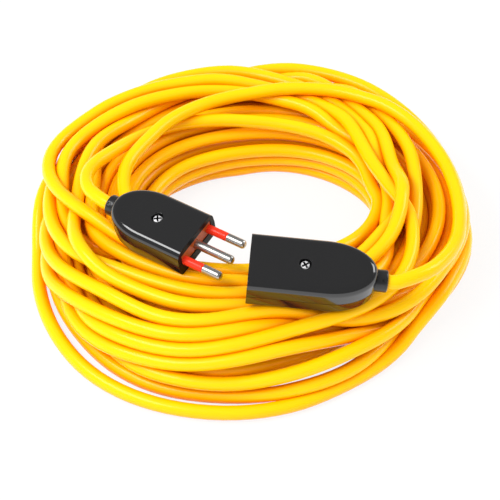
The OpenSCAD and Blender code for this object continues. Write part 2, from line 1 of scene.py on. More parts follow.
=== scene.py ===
# %% [markdown]
# # A coiled extension lead
# This lesson dresses an extension lead: a black plug and a black portable
# socket on one long yellow cable, wound by hand into a loose ring. The rigid
# pieces come packed as a fixed frame, and everything here is placed in that
# frame's own metres. We make the cable, model the connectors' shells, screws
# and collars, give every piece its finish, and set up a small studio.

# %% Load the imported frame
import json
import math

import bmesh
import bpy
import numpy as np
from mathutils import Matrix, Vector


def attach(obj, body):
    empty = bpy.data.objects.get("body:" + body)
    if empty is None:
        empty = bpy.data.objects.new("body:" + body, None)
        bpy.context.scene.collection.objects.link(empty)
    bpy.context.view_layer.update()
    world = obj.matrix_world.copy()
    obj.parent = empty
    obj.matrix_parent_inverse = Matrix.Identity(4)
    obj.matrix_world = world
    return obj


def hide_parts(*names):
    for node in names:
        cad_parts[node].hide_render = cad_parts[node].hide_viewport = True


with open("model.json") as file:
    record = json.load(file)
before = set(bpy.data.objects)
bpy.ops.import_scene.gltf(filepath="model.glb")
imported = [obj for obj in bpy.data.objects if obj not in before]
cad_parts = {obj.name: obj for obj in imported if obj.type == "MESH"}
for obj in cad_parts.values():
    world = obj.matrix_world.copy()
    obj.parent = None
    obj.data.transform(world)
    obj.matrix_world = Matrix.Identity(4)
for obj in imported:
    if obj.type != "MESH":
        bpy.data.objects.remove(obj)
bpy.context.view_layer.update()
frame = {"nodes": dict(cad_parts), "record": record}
NODES = frame["nodes"]
print("packed pieces:", len(NODES))

# %% [markdown]
# ## Camera
# A long lens from a fair distance flattens the view, as in a catalogue
# picture. The camera stands in front of the coil and looks down at it, so
# both connectors and the open middle show. It is placed from one aim point,
# a distance and an elevation, which is easier to adjust than a position.

# %% Camera in front, 43 degrees up
AIM = Vector((0, -0.0003, 0))
DISTANCE = 0.76
ELEVATION = math.radians(43)
FOCAL_LENGTH, SENSOR_WIDTH = 115.2, 36

lens = bpy.data.cameras.new("studio_camera")
lens.lens = FOCAL_LENGTH
lens.sensor_width = SENSOR_WIDTH
camera = bpy.data.objects.new("studio_camera", lens)
bpy.context.scene.collection.objects.link(camera)
back_and_up = Vector((0, -math.cos(ELEVATION), math.sin(ELEVATION)))
camera.location = AIM + DISTANCE * back_and_up
camera.rotation_euler = (math.pi / 2 - ELEVATION, 0, 0)
bpy.context.scene.camera = camera
print("camera at", [round(c, 3) for c in camera.location])

# %% [markdown]
# ## The cable, part 1: how a hand wound coil lies
# Fifteen metres of round cable go about thirty times round a ring as wide as
# two hands. No turn lies exactly like the next: each finds a place among the
# others, wanders, and crosses a neighbour here and there. A perfect helix
# would look like a spring from a machine. So we make the ring in three
# steps: first a target place for every turn at every angle, then given
# routes for the strands that lie on top, and last a small relaxation that
# pushes overlapping strands apart and lets the heap settle.
#
# The ring is cut into half planes like a cake. In each slice every turn is
# just a disc with a distance from the centre and a height, which makes the
# search for overlaps very cheap.

# %% Cable sizes and slices, in millimetres and degrees unless a name says otherwise
CABLE_D = 6.5
CENTRE = np.array([0.0, 5.0])
SLICES = 60
STEP = 360.0 / SLICES
REGULAR_TURNS = 31
START_ANGLE = -42.0
END_ANGLE = 192.0 + 360.0 * REGULAR_TURNS

angles = np.arange(START_ANGLE, END_ANGLE + STEP / 2, STEP)
turn = ((angles - START_ANGLE) // 360).astype(int)
count = len(angles)
print("points on the winding:", count, "turns:", round((END_ANGLE - START_ANGLE) / 360, 2))


def around(table, at):
    """Reads a table of angle: value all the way round the ring."""
    keys = sorted(table)
    return np.interp(at, keys, [table[k] for k in keys], period=360)


# %% [markdown]
# The heap isn't equally wide all round: it is pinched at the right, where the
# hand held it, and spreads at the back. Two tables give the middle line of
# the innermost and the outermost strand by angle. A slice of the heap has
# room for five rows of strands, and a place in it is written as a share of
# the way across and of the way up, so that the tables can be changed alone.

# %% Outline of the heap
outer_edge = {
    -171: 97, 167: 98, 152: 101, 119: 102.5, 101: 103, 80: 104.5, 68: 105, 54: 103, 41: 100,
    18: 98.5, 6: 101.5, -9: 99.5, -23: 97, -39: 95, -53: 98.5, -63: 101.5, -79: 103.5, -92: 102,
    -106: 103.5, -118: 105, -132: 102.5, -148: 100,
}
inner_edge = {
    133: 51, 114: 49.5, 96: 49.5, 79: 52.5, 64: 56, 48: 60, 30: 64, 20: 65, 0: 62, -14: 59, -50: 54,
    -90: 51, -103: 50, -140: 51, 180: 52,
}
HEAP_HEIGHT = 34.0
ROWS = (6, 7, 7, 6, 4)

widest = max(ROWS)
places = []
for row, many in enumerate(ROWS):
    for i in range(many):
        share_across = (i + 0.5 * (widest - many)) / (widest - 1)
        places.append((share_across, row / (len(ROWS) - 1)))
print("places in a slice:", len(places))

# %% [markdown]
# The order in which the turns take these places is the winder's habit: first
# the middle and the floor, then up the outside, in over the top, and out
# again along the row below it. Each turn moves over to its next place
# somewhere in the last third of its round, and never two turns at the same
# angle, which is what makes them cross. The dice have a fixed seed, so the
# coil is the same each time.

# %% Places along the winding
WINDING_ORDER = [
    13, 14, 6, 7, 0, 1, 8, 15, 16, 9, 2, 3, 10, 17, 18, 11, 4, 5, 12, 19, 25, 28, 27, 26, 20, 21,
    22, 23, 24,
]
TOP_PLACE, RIM_PLACE, PLUG_PLACE = (0.75, 1.12), (0.97, 0.9), (0.05, 1.05)
# Shares of a round: the middle of a change of place, how far it varies, how long it takes.
CHANGE_AT, CHANGE_VARIES, CHANGE_TAKES = 0.8, 0.12, 0.44

dice = np.random.default_rng(7)
stops = [TOP_PLACE] + [places[i] for i in WINDING_ORDER] + [RIM_PLACE, PLUG_PLACE]
change_at = CHANGE_AT + dice.uniform(-CHANGE_VARIES, CHANGE_VARIES, len(stops))


def ease(t):
    """Goes from 0 to 1 with a soft start and a soft stop."""
    t = np.clip(t, 0, 1)
    return t * t * (3 - 2 * t)


def soften(values, rounds):
    """Evens out a row of numbers along the cable."""
    for _ in range(rounds):
        inner = (values[:-2] + 2 * values[1:-1] + values[2:]) / 4
        values = np.concatenate([values[:1], inner, values[-1:]])
    return values


progress = (angles - START_ANGLE) / 360 - turn
here = np.array(stops)[turn]
there = np.array(stops)[np.minimum(turn + 1, len(stops) - 1)]
moved = ease((progress - change_at[turn] + CHANGE_TAKES / 2) / CHANGE_TAKES)
across = soften(here[:, 0] + (there[:, 0] - here[:, 0]) * moved, rounds=8)
upward = soften(here[:, 1] + (there[:, 1] - here[:, 1]) * moved, rounds=8)
print("turns placed:", len(stops))

# %% [markdown]
# The places give tidy turns. A slow drift along the cable then takes each of
# them a little in and out and up and down: one drift with a wave about every
# round, and a smaller one with more waves.

# %% Drift, and the target distance and height of every point
def wander(amount, waves):
    """A slow seeded drift along the cable, in millimetres; waves is how many a round has."""
    knots = int(count / SLICES * waves) + 3
    values = dice.normal(0, amount, knots)
    drift = np.interp(np.linspace(0, 1, count), np.linspace(0, 1, knots), values)
    return soften(drift, rounds=20)


rim = around(outer_edge, angles)
bore = around(inner_edge, angles)
radius = bore + across * (rim - bore) + wander(2.2, waves=1.0) + wander(1.4, waves=2.3)
height = CABLE_D / 2 + upward * (HEAP_HEIGHT - CABLE_D) + wander(1.0, waves=1.3)
print("distance from the centre:", radius.min().round(1), "to", radius.max().round(1), "mm")

# %% [markdown]
# ## The cable, part 2: strands on given routes
# The eye follows the strands on top, so these are given one by one, each as a few
# points in millimetres: the one that leaves the socket and runs over all the
# others round the back, the one that comes in to the plug, the ones that
# sweep in under the plug in front, and the turn that has slipped off and lies
# on the floor by itself. A held strand pushes the others aside and is hardly
# pushed itself. Before and after the held stretch its turn eases over to it,
# and its hold grows over the first few degrees, so that no kink shows there.
# Only the cable's two ends are held from their very first point.

# %% Holding a stretch of a turn
hold = np.zeros(count)
EASE_OVER, HOLD_GROWS_OVER, CABLE_END = 60.0, 15.0, 20.0  # degrees
LEAST_HOLD = 0.25


def lay(turn_number, points, strength=0.6):
    """Holds a stretch of one turn on given points (x, y, height)."""
    points = np.array(points, float)
    offset = points[:, :2] - CENTRE
    bearing = np.degrees(np.unwrap(np.arctan2(offset[:, 1], offset[:, 0])))
    rounds_before = math.floor((bearing[0] - START_ANGLE + CABLE_END) / 360)
    bearing += 360 * (turn_number - rounds_before)
    first_at, last_at = bearing[0], bearing[-1]
    on = (angles >= first_at) & (angles <= last_at)
    for values, wanted in ((radius, np.hypot(*offset.T)), (height, points[:, 2])):
        for edge, goal, side in ((first_at, wanted[0], -1), (last_at, wanted[-1], 1)):
            away = side * (angles - edge)
            near = (away > 0) & (away < EASE_OVER) & (hold == 0)
            step_over = goal - np.interp(edge, angles, values)
            values[near] += step_over * ease(1 - away[near] / EASE_OVER)
        values[on] = np.interp(angles[on], bearing, wanted)
    from_end = np.minimum(angles[on] - first_at, last_at - angles[on]) / HOLD_GROWS_OVER
    at_cable_end = (angles[on] < START_ANGLE + CABLE_END) | (angles[on] > END_ANGLE - CABLE_END)
    growing = np.clip(from_end + LEAST_HOLD, 0, 1)
    hold[on] = strength * np.where(at_cable_end, 1, growing)


print("a held stretch is eased into over", EASE_OVER, "degrees")

# %% [markdown]
# Now the routes. Each is a list of (x, y, height) of the cable's middle, in
# the order in which the cable runs, which is anticlockwise seen from above.
# First come the three long strands that lie on top of all the others: the one
# that leaves the socket, the one that comes in to the plug, and the one along
# the left rim. They are laid first, so that nothing else is eased over them.

# %% The three long strands on top, in millimetres
SOCKET_STRAND = [
    (67, -67.5, 46), (75, -62.2, 44.6), (84.2, -51.4, 42), (91.3, -36, 39.3), (94.5, -17, 37),
    (94.6, 4, 35.5), (91, 24, 35.3), (83.9, 41.4, 35.6), (75.2, 55.5, 36.2), (63.5, 65, 36.6),
    (54.5, 70, 37), (42, 75, 37), (28, 77, 37), (10, 75.5, 37), (0, 74, 36.3), (-14.6, 69.5, 36),
    (-22.2, 65.6, 36.4), (-29.2, 60, 37), (-36.3, 53.5, 37.7), (-43.3, 45, 37.8),
    (-48.3, 36.8, 37.3), (-52.7, 30.2, 36.8), (-56.2, 23.7, 36.2), (-58.2, 17.3, 36),
    (-58.7, 10.7, 35.5), (-58.1, 2.6, 35), (-56, -4.7, 34.3),
]
PLUG_STRAND = [
    (57, 11.5, 22.5), (56.6, 22, 23.2), (55.2, 32, 24), (51.8, 39.3, 25), (46.8, 44.4, 26.2),
    (38.8, 50.2, 27.5), (26.7, 54.1, 29.7), (14.7, 57.3, 30), (-1.5, 59.3, 30.5), (-12, 60.3, 30.5),
    (-24.3, 59.3, 30.5), (-34.4, 57.8, 30), (-41.5, 54.8, 30), (-46.6, 51.4, 30.5),
    (-51.4, 46.2, 32), (-56.2, 39.6, 34.4), (-61, 31.2, 37.4), (-65.5, 24.4, 39.2),
    (-69, 18.4, 40.7), (-71.5, 14.8, 41.4), (-73.4, 10.9, 42.1), (-74.5, 6.7, 42.8),
    (-74.9, 2.3, 43.5), (-74.5, -2, 44.1), (-73.4, -6.2, 44.7), (-72.4, -8.6, 45),
    (-71.5, -10.2, 45.2),
]
RIM_STRAND = [
    (58.5, 18.5, 33), (55.5, 33.5, 33), (50.5, 47, 33), (43, 61, 32.5), (35.5, 70.5, 31.5),
    (26.5, 78, 30.5), (17.5, 82.5, 30.5), (10, 85.5, 30.5), (2.5, 86.5, 31), (-10, 89, 32.5),
    (-22.5, 88, 33.5), (-35, 85.5, 33.5), (-49, 81.5, 33.5), (-63, 73.5, 33), (-72, 67, 32),
    (-81, 58, 31), (-90, 48, 30), (-93.5, 40.5, 30), (-95, 35.5, 30), (-95.7, 29.5, 30),
    (-95.4, 23.5, 30), (-91.5, 12.5, 31), (-86, 1, 33), (-80, -7, 34.5), (-74.5, -14, 35),
    (-65.5, -21.5, 34), (-57.5, -28, 32.5), (-48, -34.5, 31.5), (-36.5, -42, 31.5),
    (-24, -45.5, 31.5), (-13, -47.5, 32), (-2, -49, 33), (6.5, -48.5, 33),
]

lay(0, SOCKET_STRAND)
lay(REGULAR_TURNS, PLUG_STRAND)
lay(REGULAR_TURNS - 1, RIM_STRAND)
print("held points:", int((hold > 0).sum()), "of", count)

# %% [markdown]
# Round the back the strands come up from the right in a fan and part again
# towards the left. Each is keyed by the number of its turn. Turn 5 lies on the
# floor: it is the innermost one, which shows through the ring's opening.

# %% Strands round the back
BACK_STRANDS = {
    21: [
        (88.5, 46, 26), (83.5, 58, 27.5), (76.5, 67, 29), (69.5, 76.5, 29), (62.5, 85, 29),
        (48, 95.5, 29), (33, 101.5, 29), (18, 103, 29), (2.5, 102, 28), (-12.5, 100, 26),
        (-28, 97, 24),
    ],
    24: [
        (58, -26, 30.5), (65, -13.5, 30.5), (70, 0, 29.5), (71.5, 15, 28.5), (67.5, 30, 28),
        (58, 43, 28.5), (45.5, 53, 29.5), (37.5, 60.5, 31.5), (28, 68.5, 32), (18.5, 74, 31.5),
        (8.5, 78.5, 31), (-1.5, 82.5, 30.5), (-10, 84.5, 30.5), (-18.5, 84.5, 31),
        (-27.5, 81.5, 32), (-35, 78, 33), (-42, 75, 33.5), (-52, 70.5, 34), (-61, 64, 34),
        (-70.5, 56.5, 33.5), (-75, 51.5, 33), (-82, 44, 32), (-87, 35, 31), (-89.5, 25.5, 31),
        (-89, 16, 31),
    ],
    23: [
        (63, 20.5, 27), (62, 32, 28), (59, 44.5, 30), (52.5, 58.5, 31.5), (43.5, 70, 31.5),
        (36, 78, 31), (27.5, 85.5, 30.5), (23.5, 88, 30.5), (16.5, 91.5, 30.5), (6.5, 96.5, 30),
        (-6, 99.5, 29.5), (-19, 100, 29), (-28, 99, 28.5), (-35.5, 98, 28), (-43, 95, 27.5),
        (-50.5, 91.5, 27),
    ],
    22: [
        (67, 16, 33), (65.5, 33.5, 33), (61.5, 49.5, 33), (55, 62.5, 32), (49.5, 71.5, 31),
        (44, 80.5, 30.5), (37.5, 88, 30.5), (29, 95, 29.5), (18, 101, 27),
    ],
    28: [
        (76, 16, 33), (77, 28.5, 33), (73.5, 43.5, 33), (67.5, 57.5, 32), (61.5, 68.5, 31),
        (55, 79.5, 30.5), (47.5, 87.5, 29.5), (40.5, 93.5, 28),
    ],
    5: [
        (60, 32, 3.3), (55.5, 36.5, 3.3), (40.5, 50, 3.3), (25.5, 56.5, 3.3), (10.5, 58.5, 3.3),
        (-5.5, 55, 3.3), (-21, 51.5, 3.3), (-36, 43, 3.3), (-47.5, 32.5, 3.3),
    ],
}

for turn_number, route in BACK_STRANDS.items():
    lay(turn_number, route, strength=0.5)
print("held points:", int((hold > 0).sum()), "of", count)

# %% [markdown]
# In front the strands run side by side, down the slope of the heap from under
# the connectors to the floor. On the left they start close together, and
# towards the right they cross each other in long flat bends.

# %% Strands in front
FRONT_STRANDS = {
    23: [
        (-61.5, -33, 33), (-50.5, -42, 33), (-43, -46, 33), (-35, -50, 33), (-24, -54, 33),
        (-15.5, -55.5, 33), (-4.5, -54, 33),
    ],
    21: [
        (-91, -8.5, 25.5), (-87, -20, 28), (-80, -32.5, 30.5), (-71, -40.5, 32.5), (-58, -48, 33),
        (-46, -54, 33), (-35, -58.5, 33), (-24, -62, 33), (-13, -63.5, 33), (-2, -63, 33),
        (8.5, -61, 33),
    ],
    22: [
        (-66, -48, 32.5), (-53, -58, 33), (-44, -63, 33), (-36.5, -67, 33), (-28, -70, 33),
        (-17, -71, 33), (-4.5, -69, 33),
    ],
    20: [
        (-96, 1, 17), (-91.5, -23, 19), (-84.5, -37, 23.5), (-73.5, -50, 28), (-64, -58.5, 30.5),
        (-52.5, -68, 31.5), (-41.5, -75, 31.5), (-30.5, -79, 31.5), (-20, -80, 32),
        (-9.5, -79, 32.5), (2, -76, 33),
    ],
    19: [
        (-95.5, -12, 8), (-90.5, -31.5, 11), (-82.5, -46.5, 18), (-73.5, -58.5, 22),
        (-60, -70, 25.5), (-49, -77.5, 27), (-38, -82, 28), (-27, -84, 29), (-16.5, -84, 30),
        (-4, -82.5, 31), (13, -78, 32),
    ],
    29: [
        (-76, -58, 16), (-67.5, -67, 19), (-56, -77, 21.5), (-43.5, -84, 23), (-34, -87.5, 23.5),
        (-23.5, -89, 24.5), (-9.5, -88.5, 27), (4.5, -86.5, 29), (17, -83, 31), (31, -77.5, 32),
        (38.5, -75, 31.5), (46, -70.5, 31), (53, -65.5, 30.5), (63.5, -56, 29.5),
    ],
    15: [
        (-76, -60, 9), (-68, -70, 12.5), (-60.5, -77.5, 14), (-51.5, -83.5, 16),
        (-42.5, -87.5, 17.5), (-30.5, -91, 18.5), (-23.5, -92, 19.5), (-9.5, -92, 22),
        (4.5, -91, 25), (17, -88, 26), (27.5, -84, 24),
    ],
    16: [
        (-52.5, -83.5, 9.5), (-45, -88.5, 11), (-34, -92, 11.5), (-23.5, -95, 11), (-13, -96, 11),
        (-2, -96.5, 12), (10, -96, 15), (24, -93, 17), (38.5, -86.5, 18.5), (53, -76.5, 18.5),
        (61, -69, 17), (69.5, -59.5, 15), (76, -48.5, 14), (84, -36, 13), (90.5, -24, 12.5),
    ],
    17: [
        (-91, -24, 5.5), (-86, -39, 5), (-79.5, -52, 3.5), (-72, -63, 3.5), (-64.5, -73, 3.5),
        (-55.5, -81.5, 3.5), (-45, -88.5, 3.5), (-34, -92.5, 3.3), (-26, -94.5, 3.3), (-15, -96, 4),
        (-2, -97.5, 5), (10.5, -98, 6.5), (25.5, -95.5, 8), (41, -88, 8.5), (58.5, -73.5, 8),
        (67, -61.5, 7),
    ],
    14: [
        (-50, -76, 10), (-39, -82, 11), (-23.5, -88.5, 12), (-8.5, -90, 12.5), (5, -87.5, 13),
        (17, -83, 14),
    ],
}

for turn_number, route in FRONT_STRANDS.items():
    lay(turn_number, route, strength=0.5)
print("held points:", int((hold > 0).sum()), "of", count)

# %% [markdown]
# One turn has slipped off the heap. It comes down over the left edge, lies on
# the floor in a wider bow than the others, with a gap behind it where the
# floor shows, and climbs back up at the right.

# %% The slipped turn
SLIPPED_TURN = [
    (-96.5, 13.5, 20), (-97.5, 6.5, 15), (-98, 3, 10), (-98.5, -3, 6), (-98.5, -12, 3.3),
    (-98, -24, 3.3), (-94.5, -38.5, 3.3), (-90, -51.5, 3.3), (-83, -65, 3.3), (-75.5, -76, 3.3),
    (-68, -84, 3.3), (-57.5, -92, 3.3), (-44, -99, 3.3), (-31, -103, 3.3), (-17, -105.2, 3.3),
    (-4.5, -105.5, 3.3), (8.5, -103.5, 3.3), (21.5, -99.5, 3.3), (34, -93, 3.3), (47, -85, 4),
    (60, -73.5, 5), (67, -66.5, 7), (74, -58, 9), (80, -49.5, 12), (86.5, -41, 14),
]
SLIPPED_TURN_NUMBER = 18

lay(SLIPPED_TURN_NUMBER, SLIPPED_TURN, strength=0.8)
print("held points:", int((hold > 0).sum()), "of", count)

# %% [markdown]
# ## The cable, part 3: where the connectors are
# The cable has to meet both connectors, and the shells are modelled in the
# connectors' own millimetres, so their sizes come before either. They are the
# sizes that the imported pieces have.

# %% Sizes of the two connectors, in millimetres
BODY_WIDTH = 28.0
PLUG_LENGTH, PLUG_THICK = 44.0, 14.5
SOCKET_LENGTH, SOCKET_THICK = 55.0, 16.8
# How far each collar stands out of its neck.
PLUG_COLLAR, SOCKET_COLLAR = 3.2, 4.1
# From the front face to the middle of the middle pin's wall and of the middle hole's.
EARTH_PIN_MIDDLE, EARTH_HOLE_MIDDLE = 9.0, 4.0
PIN_LENGTH, PINS_WIDTH, PIN_D = 19.0, 23.0, 4.0
print("bodies:", PLUG_LENGTH, "and", SOCKET_LENGTH, "mm long")

# %% [markdown]
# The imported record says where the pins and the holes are. From three pins in
# a line we get the plug's own axes, and from the three holes the socket's, so
# no place has to be typed twice: x runs from the front face towards the
# cable, y along the row of pins, and z out of the joint between the shells.

# %% Axes of the two connectors
mounts = {m["name"]: m for m in frame["record"]["mounts"]}


def connector_axes(side_a, middle, side_b):
    """The axes of a connector, one a row, from three of its mounts."""
    out = np.array(mounts[middle]["axis"], float)
    sideways = np.array(mounts[side_b]["pos_m"]) - np.array(mounts[side_a]["pos_m"])
    sideways = sideways / np.linalg.norm(sideways)
    return np.stack([-out, sideways, np.cross(-out, sideways)])


plug_axes = connector_axes("live_pin", "earth_pin", "neutral_pin")
socket_axes = connector_axes("live_hole", "earth_hole", "neutral_hole")
pin_middle = np.array(mounts["earth_pin"]["pos_m"]) * 1000
hole_middle = np.array(mounts["earth_hole"]["pos_m"]) * 1000
plug_face = pin_middle + EARTH_PIN_MIDDLE * plug_axes[0]
socket_face = hole_middle - EARTH_HOLE_MIDDLE * socket_axes[0]
plug_exit = plug_face + (PLUG_LENGTH + PLUG_COLLAR) * plug_axes[0]
socket_exit = socket_face + (SOCKET_LENGTH + SOCKET_COLLAR) * socket_axes[0]
print("plug face", plug_face.round(1), "socket face", socket_face.round(1))

# %% [markdown]
# ## The cable, part 4: letting the heap settle
# Each round of the relaxation does five small things: it straightens sharp
# bends, pulls every point a little towards its target, lets it sink, pushes
# discs that overlap in a slice apart, and keeps everything above the floor
# and below the two connectors. A few hundred rounds of small moves give a
# calm result, where one big move would make the turns jump.
#
# The first two helpers work along the cable and across a slice. A slice is a
# column of a table with one row a turn, so all the pairs of turns are
# compared at once, in all the slices together.

# %% Straightening, and pushing neighbours apart
PUSH = 0.35  # share of an overlap that one push takes away
padding = (-count) % SLICES
turns_all = (count + padding) // SLICES
first, second = np.triu_indices(turns_all, 1)


def straighten(values, weight):
    """Moves every point towards the smooth line through its four neighbours."""
    p = np.pad(values, 2, mode="edge")
    smooth = (4 * (p[1:-3] + p[3:-1]) - (p[:-4] + p[4:])) / 6
    return values + weight * (smooth - values)


def slices(values):
    """The points as a table, one row a turn and one column a slice."""
    padded = np.pad(values, (0, padding), constant_values=np.nan)
    return padded.reshape(turns_all, SLICES)


def push_apart(radius, height):
    """Moves discs that overlap in a slice away from each other."""
    r, z = slices(radius), slices(height)
    dr, dz = r[second] - r[first], z[second] - z[first]
    apart = np.sqrt(dr * dr + dz * dz)
    overlap = np.clip(CABLE_D - apart, 0, None)
    share = PUSH * np.nan_to_num(overlap / np.maximum(apart, 1e-3))
    dr, dz = share * np.nan_to_num(dr), share * np.nan_to_num(dz)
    move_r, move_z = np.zeros_like(r), np.zeros_like(z)
    np.add.at(move_r, second, dr)
    np.add.at(move_r, first, -dr)
    np.add.at(move_z, second, dz)
    np.add.at(move_z, first, -dz)
    return radius + move_r.ravel()[:count], height + move_z.ravel()[:count]


print("pairs of turns in a slice:", len(first))

# %% [markdown]
# The connectors lie on the heap, so the cable has to pass under them. For
# this a connector is a plain box in its own axes, and so is the row of pins.
# A point that would run into a box goes down, never up or aside, because the
# connectors are what the heap carries.

# %% Keeping the cable under the connectors
PRESS = 0.5       # share of the way out of a box that one round moves a point
SIDE_SLACK = 1.0  # millimetres by which the cable may lie in a box's side
END_POINTS = 4    # points at either end of the cable that stay in their connector
bearing_x, bearing_y = np.cos(np.radians(angles)), np.sin(np.radians(angles))
ends = (np.arange(count) < END_POINTS) | (np.arange(count) >= count - END_POINTS)
# Face, axes, where it starts and ends along x, half its width and half its thickness.
BOXES = [
    (plug_face, plug_axes, 0, PLUG_LENGTH, BODY_WIDTH / 2, PLUG_THICK / 2),
    (socket_face, socket_axes, 0, SOCKET_LENGTH, BODY_WIDTH / 2, SOCKET_THICK / 2),
    (plug_face, plug_axes, -PIN_LENGTH, 0, PINS_WIDTH / 2, PIN_D / 2),
]


def in_space(radius, height):
    """The points' x, y and z."""
    x, y = CENTRE[0] + radius * bearing_x, CENTRE[1] + radius * bearing_y
    return np.stack([x, y, height], -1)


def keep_under(box, radius, height):
    """Presses the cable down where it would run into a connector."""
    origin, axes, front, back, half_width, half_height = box
    x, y, z = ((in_space(radius, height) - origin) @ axes.T).T
    gap = CABLE_D / 2
    inside = (x > front - gap) & (x < back + gap - SIDE_SLACK)
    inside &= abs(y) < half_width + gap - SIDE_SLACK
    inside &= (z > -half_height - gap) & (z < half_height + CABLE_D) & ~ends
    return height - PRESS * np.where(inside, z + half_height + gap, 0)


print("points that stay in a connector:", int(ends.sum()))

# %% [markdown]
# Now the rounds themselves. The heap first sinks with a firm pull towards the
# targets, and then with a weaker one, so that the turns find their own
# places. A last, stiffer set of rounds takes out the bends that are
# tighter than a real cable makes.

# %% Relaxation of the winding
target_radius, target_height = radius.copy(), height.copy()
HOLD_PULL = 0.5   # share of the way back to its route that a held point goes
PUSHES = 2        # pushes apart in a round
EDGE_SLACK = 1.5  # millimetres by which a turn may lie outside the heap's outline
EDGE_PUSH = 0.3   # share of what is more than that which a round takes away


def settle(radius, height, rounds, sink, pull, stiff=0.5):
    """Lets the winding settle; sink is in millimetres a round, pull and stiff are shares."""
    free = hold == 0
    for _ in range(rounds):
        radius, height = straighten(radius, stiff), straighten(height, stiff) - sink
        weight = np.where(free, pull, HOLD_PULL * hold)
        radius = radius + weight * (target_radius - radius)
        height = height + weight * (target_height - height)
        radius[ends], height[ends] = target_radius[ends], target_height[ends]
        for _ in range(PUSHES):
            radius, height = push_apart(radius, height)
        height = np.maximum(height, CABLE_D / 2)
        outside = np.where(free, np.clip(radius - rim - EDGE_SLACK, 0, None), 0)
        inside = np.where(free, np.clip(bore - EDGE_SLACK - radius, 0, None), 0)
        radius = radius + EDGE_PUSH * (inside - outside)
        for box in BOXES:
            height = keep_under(box, radius, height)
    return radius, height


radius, height = settle(radius, height, rounds=150, sink=0.02, pull=0.05)
radius, height = settle(radius, height, rounds=250, sink=0.03, pull=0.02)
radius, height = settle(radius, height, rounds=100, sink=0.02, pull=0.01, stiff=0.7)
gaps = np.sqrt((slices(radius)[first] - slices(radius)[second]) ** 2
               + (slices(height)[first] - slices(height)[second]) ** 2)
print("smallest distance between strands:", round(float(np.nanmin(gaps)), 2), "mm")

# %% [markdown]
# ## The cable, part 5: from a line to a cable
# The settled points are 6 degrees of a turn apart, which would show corners.
# We put a smooth curve through them, and add a few points on the line of each
# connector's sleeve, so that the cable comes out of it straight.

# %% Smooth centreline in metres
def between(points, parts):
    """A smooth curve through all the points, with new ones in between."""
    p = np.concatenate([points[:1], points, points[-1:]])
    a, b, c, d = p[:-3], p[1:-2], p[2:-1], p[3:]
    rows = []
    for t in np.arange(parts) / parts:
        rows.append(0.5 * (2 * b + (c - a) * t + (2 * a - 5 * b + 4 * c - d) * t ** 2
                           + (3 * b - a - 3 * c + d) * t ** 3))
    return np.concatenate([np.stack(rows, 1).reshape(-1, 3), points[-1:]])


# Millimetres out of the collar's end; what is negative lies inside the collar.
LEAVING, ARRIVING = (-3.0, 0.0, 4.0), (3.0, -3.0)
leaving = [socket_exit + out * socket_axes[0] for out in LEAVING]
arriving = [plug_exit + out * plug_axes[0] for out in ARRIVING]
wound = in_space(radius, height)
centreline = between(np.array([*leaving, *wound, *arriving]), parts=2) / 1000
lengths = np.linalg.norm(np.diff(centreline, axis=0), axis=1)
print("cable length:", round(float(lengths.sum()), 2), "m")

# %% [markdown]
# A round section is then swept along the line. A curve object with a bevel
# could do this, but its section twists where the line climbs, and its UV map
# has no real lengths. Here each ring starts from the one before it, so nothing
# twists, and the surface gets its own UV map with the real length along it,
# which lets a finish follow the cable round all its turns. Fourteen sides look
# round at this size and keep the cable near 50000 faces.

# %% Sweep the section
SIDES = 14


def sweep(name, line, diameter, sides):
    """A closed round tube along a line, with a UV map in metres."""
    forward = np.gradient(line, axis=0)
    forward /= np.linalg.norm(forward, axis=1)[:, None]
    side = np.cross(forward[0], (0, 0, 1))
    turns = np.arange(sides) / sides * 2 * math.pi
    rings = np.empty((len(line), sides, 3))
    for i, (point, ahead) in enumerate(zip(line, forward)):
        side = side - ahead * (side @ ahead)
        side /= np.linalg.norm(side)
        over = np.cross(ahead, side)
        section = np.cos(turns)[:, None] * side + np.sin(turns)[:, None] * over
        rings[i] = point + diameter / 2 * section
    here = np.arange(len(line) - 1)[:, None] * sides
    near, far = np.arange(sides), (np.arange(sides) + 1) % sides
    quads = np.stack([here + near, here + far, here + sides + far, here + sides + near], -1)
    quads = quads.reshape(-1, 4)
    last_ring = len(line) * sides - sides
    caps = [list(range(sides))[::-1], list(range(last_ring, len(line) * sides))]
    mesh = bpy.data.meshes.new(name)
    mesh.from_pydata(rings.reshape(-1, 3).tolist(), [], quads.tolist() + caps)
    steps = np.linalg.norm(np.diff(line, axis=0), axis=1)
    run = np.concatenate([[0], np.cumsum(steps)])
    round_it = math.pi * diameter
    low, high = run[:-1, None] + 0 * near, run[1:, None] + 0 * near
    left, right = near / sides * round_it + 0 * low, (near + 1) / sides * round_it + 0 * low
    corners = np.stack([low, left, low, right, high, right, high, left], -1).reshape(-1)
    cap_corners = np.zeros(2 * sides * 2)
    along = np.concatenate([corners, cap_corners]).astype(np.float32)
    mesh.uv_layers.new(name="along").data.foreach_set("uv", along)
    mesh.polygons.foreach_set("use_smooth", [True] * len(quads) + [False] * 2)
    mesh.update()
    piece = bpy.data.objects.new(name, mesh)
    bpy.context.scene.collection.objects.link(piece)
    return piece


cable = sweep("yellow_cable", centreline, CABLE_D / 1000, SIDES)
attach(cable, "lead")
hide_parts("cable_coil", "plug_tail", "socket_tail", "loose_turn")
print("cable faces:", len(cable.data.polygons))

